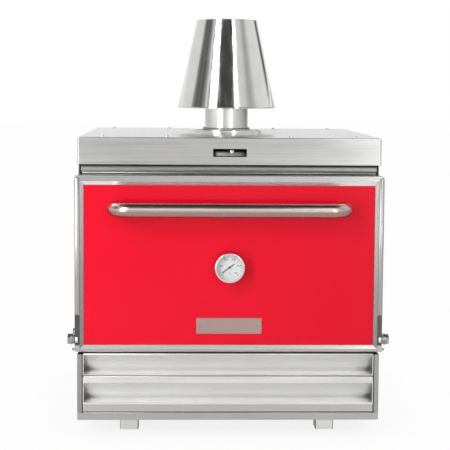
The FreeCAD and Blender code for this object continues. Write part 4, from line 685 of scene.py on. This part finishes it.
def rounded_loop(half_width, low, high, corner, step):
    """Points and outward directions round an upright rectangle with round corners."""
    centres = [(half_width - corner, high - corner, 0), (-half_width + corner, high - corner, 90),
               (-half_width + corner, low + corner, 180), (half_width - corner, low + corner, 270)]
    marks = []
    for number, (x, z, start) in enumerate(centres):
        pieces = max(CORNER_LEAST, round(corner * math.pi / 2 / step))
        for k in range(pieces + 1):
            turn = math.radians(start + 90 * k / pieces)
            out = Vector((math.cos(turn), 0, math.sin(turn)))
            marks.append((Vector((x, 0, z)) + out * corner, out))
        end, end_out = marks[-1]
        x_next, z_next, start_next = centres[(number + 1) % len(centres)]
        turn = math.radians(start_next)
        stop = Vector((x_next, 0, z_next)) + Vector((math.cos(turn), 0, math.sin(turn))) * corner
        count = round((stop - end).length / step)
        for k in range(1, count):
            marks.append((end.lerp(stop, k / count), end_out))
    return marks


def make_mouth_rope():
    low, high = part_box("mouth_gasket")
    reach = STRAND_SWING + STRAND_RADIUS
    marks = rounded_loop(high.x - reach, low.z + reach, high.z - reach, ROPE_CORNER, ROPE_STEP)
    depth = high.y - reach
    length = sum((marks[k][0] - marks[k - 1][0]).length for k in range(len(marks)))
    twists = round(length / ROPE_PITCH)
    shape = bmesh.new()
    for strand in range(ROPE_STRANDS):
        rings = []
        run = 0.0
        for k, (point, out) in enumerate(marks):
            run += (point - marks[k - 1][0]).length if k else 0.0
            turn = 2 * math.pi * (twists * run / length + strand / ROPE_STRANDS)
            swing = (out * math.cos(turn) + BACK * math.sin(turn)) * STRAND_SWING
            centre = Vector((point.x, depth, point.z)) + swing
            rings.append(oval(centre, out * STRAND_RADIUS, BACK * STRAND_RADIUS, STRAND_SIDES))
        skin(shape, rings, closed=True)
    rope = fit("mouth_rope", shape, rope_fibre, "carcass")
    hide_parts("mouth_gasket")


# Rolled edges of the folded sheets, which close the gaps between them; a pair is half a depth and a height
HEM_SIDES = 16
HEM_TAPER = 1.5 * MM
HEM_TIP = 0.6
HEM_SHY = 1 * MM
SHEET_HEM = (2.2 * MM, 1.3 * MM)
NECK_HEM = (2.4 * MM, 2.2 * MM)
NECK_HEM_BACK = 5.6 * MM
NECK_HEM_DROP = 1.4 * MM
# The drip tray's stands forward and up, just clear of the door's lower edge as that swings by
TRAY_HEM = (2.2 * MM, 1.6 * MM)
TRAY_HEM_LEAD = 1.7 * MM
TRAY_HEM_LIFT = 1.0 * MM


def tapered(start, stop):
    """Places along a rolled edge, each with how full it is there: it tapers to both ends."""
    return (start, HEM_TIP), (start + HEM_TAPER, 1.0), (stop - HEM_TAPER, 1.0), (stop, HEM_TIP)


def rolled_edge(name, body, finish, half, middle, section):
    """A rolled edge across the oven: half its length, the middle of its section, and its half sizes."""
    back, height = middle
    deep, tall = section
    rings = []
    for across, swell in tapered(-half, half):
        centre = Vector((across, back, height))
        rings.append(oval(centre, BACK * deep * swell, UP * tall * swell, HEM_SIDES))
    shape = bmesh.new()
    skin(shape, rings)
    fit(name, shape, finish, body)


def make_rolled_edges():
    low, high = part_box("upper_front_rail")
    rolled_edge("neck_hem", "carcass", neck_steel, high.x - HEM_SHY,
                (low.y + NECK_HEM_BACK, low.z - NECK_HEM_DROP), NECK_HEM)
    low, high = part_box("drip_tray_front")
    rolled_edge("drip_tray_hem", "drip_tray", pull_steel, high.x - HEM_SHY,
                (low.y - TRAY_HEM_LEAD, high.z + TRAY_HEM_LIFT), TRAY_HEM)
    low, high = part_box("ash_drawer_front")
    drawer_half = high.x
    rolled_edge("ash_drawer_hem", "ash_drawer", pull_steel, drawer_half - HEM_SHY,
                (low.y + SHEET_HEM[0], high.z), SHEET_HEM)
    low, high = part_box("base_pan")
    rolled_edge("base_hem", "carcass", base_steel, drawer_half, (low.y + SHEET_HEM[0], high.z), SHEET_HEM)


# Bead down each upright of the door's border, above the hinge: the sheet's rolled outer edge
BEAD_HALF = 5.4 * MM
BEAD_PROUD = 3.0 * MM
BEAD_STOP = 5 * MM


def make_border_beads():
    low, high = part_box("door_frame")
    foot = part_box("hinge_blocks")[1].z + HEM_TAPER
    head = high.z - BEAD_STOP
    shape = bmesh.new()
    for side in (-1, 1):
        rings = []
        for height, swell in tapered(foot, head):
            centre = Vector((side * (high.x - BEAD_HALF), low.y, height))
            rings.append(oval(centre, RIGHT * BEAD_HALF * swell, BACK * BEAD_PROUD * swell, HEM_SIDES))
        skin(shape, rings)
    fit("border_beads", shape, bead_steel, "door")


# Knuckle on each hinge bolt: a turned barrel that shows in front of the hinge block
KNUCKLE = 11.6 * MM
KNUCKLE_EDGE = 1.2 * MM
KNUCKLE_SHY = 0.4 * MM
KNUCKLE_LAP = 5.4 * MM
KNUCKLE_SIDES = 40


def make_hinge_knuckles():
    bolt_low, bolt_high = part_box("hinge_bolts")
    axis = (bolt_low + bolt_high) / 2
    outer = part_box("hinge_blocks")[1].x - KNUCKLE_SHY
    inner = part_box("door_core")[1].x - KNUCKLE_LAP
    shape = bmesh.new()
    for side in (-1, 1):
        rings = []
        for across, radius in ((inner, KNUCKLE - KNUCKLE_EDGE), (inner + KNUCKLE_EDGE, KNUCKLE),
                               (outer - KNUCKLE_EDGE, KNUCKLE), (outer, KNUCKLE - KNUCKLE_EDGE)):
            centre = Vector((side * across, axis.y, axis.z))
            rings.append(oval(centre, BACK * radius, UP * radius, KNUCKLE_SIDES))
        skin(shape, rings)
    fit("hinge_knuckles", shape, bright_steel, "door")


# Shield on the damper's rim: it turns with the lever and closes the slot behind the knob
SHIELD_HALF_TURN = 56
SHIELD_STEPS = 56
SHIELD_THICK = 1.2 * MM
SHIELD_TOP = 2.6 * MM
SHIELD_DROP = 6.5 * MM


def make_slot_shield():
    low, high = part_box("damper_plate")
    stud_low, stud_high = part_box("damper_stud")
    stud = (stud_low + stud_high) / 2
    rim = stud.y - low.y
    rings = []
    for k in range(SHIELD_STEPS + 1):
        turn = math.radians(SHIELD_HALF_TURN * (2 * k / SHIELD_STEPS - 1))
        out = Vector((math.sin(turn), -math.cos(turn), 0))
        foot = Vector((stud.x, stud.y, high.z - SHIELD_DROP)) + out * (rim - SHIELD_THICK / 2)
        head = Vector((stud.x, stud.y, high.z + SHIELD_TOP)) + out * (rim - SHIELD_THICK / 2)
        rings.append([foot, foot + out * SHIELD_THICK, head + out * SHIELD_THICK, head])
    shape = bmesh.new()
    skin(shape, rings)
    fit("slot_shield", shape, damper_steel, "damper", smooth=False)


# Rings round the flue's axis: weld beads and the rolled edges of the hat
FLUE_LOW, FLUE_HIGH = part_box("flue_flange")
FLUE = (FLUE_LOW + FLUE_HIGH) / 2
FLUE_WELD = 2.6 * MM
WELD_RIPPLE = 0.14
WELD_PITCH = 4.5 * MM
RIPPLE_STEPS = 4
ROD_SIDES = 8


def flue_ring(shape, radius, height, thickness, steps, ripples=0):
    """A rod bent round the flue's axis; ripples make it a weld bead."""
    rings = []
    for k in range(steps):
        turn = 2 * math.pi * k / steps
        out = Vector((math.cos(turn), math.sin(turn), 0))
        full = thickness * (1 + WELD_RIPPLE * math.sin(ripples * turn))
        centre = Vector((FLUE.x, FLUE.y, height)) + out * radius
        rings.append(oval(centre, out * full, UP * full, ROD_SIDES))
    skin(shape, rings, closed=True)


def make_flue_welds():
    pipe_low, pipe_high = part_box("flue_pipe")
    radius = (pipe_high.x - pipe_low.x) / 2
    ripples = round(2 * math.pi * radius / WELD_PITCH)
    shape = bmesh.new()
    flue_ring(shape, radius, FLUE_HIGH.z, FLUE_WELD, ripples * RIPPLE_STEPS, ripples)
    fit("flue_weld", shape, weld_bead, "carcass")


HAT_HEM = 1.5 * MM
HAT_HEM_SET = 0.7
HAT_FOOT_STEPS = 160
HAT_HEAD_STEPS = 120
RIM_BAND = 0.5 * MM
HAT_SEAM_HALF = 2.0 * MM
HAT_SEAM_PROUD = 0.8 * MM
HAT_SEAM_SIDES = 10


def make_hat_edges():
    low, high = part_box("hat_cone")
    foot = (high.x - low.x) / 2
    rim = [v.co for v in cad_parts["hat_cone"].data.vertices if high.z - v.co.z < RIM_BAND]
    head = max(math.hypot(p.x - FLUE.x, p.y - FLUE.y) for p in rim)
    shape = bmesh.new()
    flue_ring(shape, foot - HAT_HEM * HAT_HEM_SET, low.z + HAT_HEM, HAT_HEM, HAT_FOOT_STEPS)
    flue_ring(shape, head - HAT_HEM * HAT_HEM_SET, high.z - HAT_HEM, HAT_HEM, HAT_HEAD_STEPS)
    fit("hat_hems", shape, mirror_up, "hat")
    seam = bmesh.new()
    start = Vector((FLUE.x, FLUE.y + foot, low.z + 2 * HAT_HEM))
    stop = Vector((FLUE.x, FLUE.y + head, high.z - 2 * HAT_HEM))
    out = RIGHT.cross((stop - start).normalized())
    steps = round((stop - start).length / (WELD_PITCH / RIPPLE_STEPS))
    rings = []
    for k in range(steps + 1):
        swell = 1 + WELD_RIPPLE * math.sin(2 * math.pi * k / RIPPLE_STEPS)
        centre = start.lerp(stop, k / steps)
        wide = RIGHT * HAT_SEAM_HALF * swell
        proud = out * HAT_SEAM_PROUD * swell
        rings.append(oval(centre, wide, proud, HAT_SEAM_SIDES))
    skin(seam, rings)
    fit("hat_seam", seam, weld_bead, "hat")


make_dial_print()
make_mouth_rope()
make_rolled_edges()
make_border_beads()
make_hinge_knuckles()
make_slot_shield()
make_flue_welds()
make_hat_edges()


# Studio: pale floor, white surround, soft lamps, and shaded screens that the polished steel shows
WHITE = "#ffffff"
AMBIENT = 0.34
FLOOR_HALF = 20.0
FLOOR_WHITE = "#ececec"
FLOOR_MIRRORED = 0.55
SHADOW_REACH = 0.2
SHADOW_WHITE = 0.82
OPEN_WHITE = 0.985


def make_world():
    world = bpy.data.worlds.new("white_surround")
    world.use_nodes = True
    scene.world = world
    tree = world.node_tree
    tree.nodes.clear()
    path = add(tree, "ShaderNodeLightPath").outputs
    mirrored = add(tree, "ShaderNodeMath", {
        0: path["Is Glossy Ray"], 1: path["Is Transmission Ray"]}, operation="MAXIMUM")
    seen = add(tree, "ShaderNodeMath", {0: path["Is Camera Ray"], 1: mirrored}, operation="MAXIMUM")
    ambient = add(tree, "ShaderNodeBackground", {"Color": linear(WHITE), "Strength": AMBIENT})
    white = add(tree, "ShaderNodeBackground", {"Color": linear(WHITE), "Strength": 1.0})
    both = add(tree, "ShaderNodeMixShader", {0: seen, 1: ambient, 2: white})
    add(tree, "ShaderNodeOutputWorld", {"Surface": both})


def stage_sheet(name, corners, faces, material):
    """A sheet of the studio, which is no part of the oven."""
    mesh = bpy.data.meshes.new(name)
    mesh.from_pydata(corners, [], faces)
    mesh.materials.append(material)
    sheet = bpy.data.objects.new(name, mesh)
    scene.collection.objects.link(sheet)
    return sheet


def make_floor():
    # Matt pale paint: white to the camera, down to a soft shadow under the oven, and grey in the steel.
    material, tree = blank("pale_studio_floor")
    path = add(tree, "ShaderNodeLightPath").outputs
    sky = add(tree, "ShaderNodeAmbientOcclusion", {"Distance": SHADOW_REACH}, samples=SKY_SAMPLES)
    fade = add(tree, "ShaderNodeMapRange", {
        "Value": sky.outputs["AO"], "To Min": SHADOW_WHITE, "To Max": OPEN_WHITE})
    shown = add(tree, "ShaderNodeMath", {0: path["Is Camera Ray"], 1: fade}, operation="MULTIPLY")
    mirrored = add(tree, "ShaderNodeMath", {
        0: path["Is Glossy Ray"], 1: path["Is Transmission Ray"]}, operation="MAXIMUM")
    dimmed = add(tree, "ShaderNodeMath", {0: mirrored, 1: FLOOR_MIRRORED}, operation="MULTIPLY")
    lit = add(tree, "ShaderNodeMath", {0: shown, 1: dimmed}, operation="MAXIMUM")
    paint = add(tree, "ShaderNodeBsdfDiffuse", {"Color": linear(FLOOR_WHITE)})
    white = add(tree, "ShaderNodeEmission", {"Color": linear(WHITE), "Strength": 1.0})
    both = add(tree, "ShaderNodeMixShader", {0: lit, 1: paint, 2: white})
    add(tree, "ShaderNodeOutputMaterial", {"Surface": both})
    half = FLOOR_HALF
    stage_sheet("studio_floor", [(-half, -half, 0), (half, -half, 0), (half, half, 0), (-half, half, 0)],
                [(0, 1, 2, 3)], material)


def toward(azimuth, distance, height):
    """A place round the oven: azimuth 0 is in front, 90 to the right."""
    turn = math.radians(azimuth)
    return Vector((math.sin(turn) * distance, -math.cos(turn) * distance, height))


LAMP_AIM = Vector((0, 0, 0.45))


def softbox(name, place, size, radiance):
    """A soft lamp that faces the oven, as bright as its radiance seen from the front."""
    lamp = bpy.data.lights.new(name, "AREA")
    lamp.shape = "RECTANGLE"
    lamp.size, lamp.size_y = size
    lamp.energy = radiance * math.pi * size[0] * size[1]
    holder = bpy.data.objects.new(name, lamp)
    holder.location = place
    holder.rotation_euler = (LAMP_AIM - place).to_track_quat("-Z", "Y").to_euler()
    holder.visible_camera = False
    scene.collection.objects.link(holder)


def only_mirrored(sheet):
    """A screen that polished steel shows, and that neither the camera nor the lamps meet."""
    sheet.visible_camera = False
    sheet.visible_diffuse = False
    sheet.visible_shadow = False
    sheet.visible_transmission = False


RING_STEPS = 90


def shaded_ring(name, distance, heights, shades):
    """A screen round the oven whose greys change with the bearing."""
    material, tree, place = new_finish(f"{name}_cloth")
    axes = add(tree, "ShaderNodeSeparateXYZ", {"Vector": place}).outputs
    ahead = add(tree, "ShaderNodeMath", {0: axes["Y"], 1: -1.0}, operation="MULTIPLY")
    bearing = add(tree, "ShaderNodeMath", {0: axes["X"], 1: ahead}, operation="ARCTAN2")
    share = add(tree, "ShaderNodeMapRange", {"Value": bearing, "From Min": -math.pi, "From Max": math.pi})
    greys = add(tree, "ShaderNodeValToRGB", {"Fac": share})
    ramp = greys.color_ramp
    stops = [((azimuth + 180) / 360, linear(shade)) for azimuth, shade in shades]
    while len(ramp.elements) < len(stops):
        ramp.elements.new(1.0)
    for element, (position, colour) in zip(ramp.elements, stops):
        element.position = position
        element.color = colour
    glow = add(tree, "ShaderNodeEmission", {"Color": greys, "Strength": 1.0})
    add(tree, "ShaderNodeOutputMaterial", {"Surface": glow})
    steps = range(RING_STEPS)
    corners = [tuple(toward(360 * k / RING_STEPS, distance, z)) for z in heights for k in steps]
    following = [(k + 1) % RING_STEPS for k in steps]
    faces = [(k, following[k], RING_STEPS + following[k], RING_STEPS + k) for k in steps]
    only_mirrored(stage_sheet(name, corners, faces, material))


def dark_screen(name, corners, shade):
    """A dark cloth over or in front of the oven."""
    material, tree = blank(f"{name}_cloth")
    glow = add(tree, "ShaderNodeEmission", {"Color": linear(shade), "Strength": 1.0})
    add(tree, "ShaderNodeOutputMaterial", {"Surface": glow})
    only_mirrored(stage_sheet(name, corners, [(0, 1, 2, 3)], material))


# Lamps: place, width and height in metres, and radiance
LAMPS = (
    ("key_left", toward(-34, 2.0, 1.0), (0.52, 2.0), 6.3),
    ("fill_right", toward(22, 2.5, 1.1), (0.26, 2.2), 5.0),
)
# Greys of the screens, each with its bearing in degrees
HIGH_SHADES = [
    (-180, "#f4f4f4"), (-150, "#ececec"), (-94, "#e6e6e6"), (-89, "#8c8c8c"), (-80, "#5c5c5c"),
    (-73, "#747474"), (-66, "#585858"), (-60, "#8c8c8c"), (-55, "#a0a0a0"), (-52, "#f0f0f0"),
    (-49, "#e0e0e0"), (-46, "#6a6a6a"), (-43, "#5a5a5a"), (-41, "#ffffff"), (25, "#ffffff"),
    (30, "#e0e0e0"), (44, "#dcdcdc"), (54, "#b0b0b0"), (62, "#b6b6b6"), (76, "#e8e8e8"),
    (118, "#f0f0f0"), (127, "#606060"), (136, "#606060"), (146, "#e8e8e8"), (165, "#f4f4f4"),
]
MIDDLE_SHADES = [
    (-180, "#ffffff"), (-158, "#ffffff"), (-140, "#d8d8d8"), (-110, "#d0d0d0"), (-76, "#f0f0f0"),
    (-70, "#ffffff"), (-30, "#ffffff"), (-17, "#c8c8c8"), (-8, "#c8c8c8"), (-2, "#eeeeee"),
    (3, "#ffffff"), (24, "#ffffff"), (32, "#f4f4f4"), (45, "#ececec"), (60, "#d8d8d8"),
    (75, "#cccccc"), (95, "#b0b0b0"), (120, "#8c8c8c"), (140, "#a0a0a0"), (158, "#ffffff"),
]
LOW_SHADES = [
    (-180, "#ffffff"), (-158, "#ffffff"), (-140, "#d8d8d8"), (-110, "#d0d0d0"), (-76, "#f0f0f0"),
    (-70, "#ffffff"), (-20, "#ffffff"), (-14, "#d4d4d4"), (-8, "#d4d4d4"), (-1, "#ffffff"),
    (24, "#ffffff"), (27, "#c4c4c4"), (52, "#c4c4c4"), (66, "#c8c8c8"), (84, "#c8c8c8"),
    (100, "#a0a0a0"), (134, "#b4b4b4"), (158, "#ffffff"),
]
# Screens round the oven: distance, foot and head in metres
RINGS = (
    ("high_screen", 2.4, (1.12, 2.9), HIGH_SHADES),
    ("middle_screen", 3.4, (0.38, 1.1), MIDDLE_SHADES),
    ("low_screen", 3.4, (0.0, 0.38), LOW_SHADES),
)
CEILING_CORNERS = [(-1.5, -1.5, 2.6), (1.5, -1.5, 2.6), (1.5, 1.0, 2.6), (-1.5, 1.0, 2.6)]
FRONT_CORNERS = [(-0.34, -0.8, 0.92), (0.24, -0.8, 0.92), (0.24, -0.8, 1.36), (-0.34, -0.8, 1.36)]


def make_camera():
    camera = bpy.data.cameras.new("photo_view")
    camera.sensor_width = SENSOR
    camera.lens = SENSOR * FOCAL_PIXELS / PHOTO_SIDE
    camera.shift_x = (PHOTO_SIDE / 2 - AXIS_PIXEL[0]) / PHOTO_SIDE
    camera.shift_y = (AXIS_PIXEL[1] - PHOTO_SIDE / 2) / PHOTO_SIDE
    holder = bpy.data.objects.new("photo_view", camera)
    turn = (Matrix.Rotation(math.radians(CAMERA_YAW), 4, "Z")
            @ Matrix.Rotation(math.radians(90 - CAMERA_PITCH), 4, "X")
            @ Matrix.Rotation(math.radians(CAMERA_ROLL), 4, "Z"))
    holder.matrix_world = Matrix.Translation(CAMERA_PLACE) @ turn
    scene.collection.objects.link(holder)
    scene.camera = holder


make_world()
make_floor()
for lamp in LAMPS:
    softbox(*lamp)
for ring in RINGS:
    shaded_ring(*ring)
dark_screen("ceiling_screen", CEILING_CORNERS, "#303030")
dark_screen("front_screen", FRONT_CORNERS, "#424242")
make_camera()
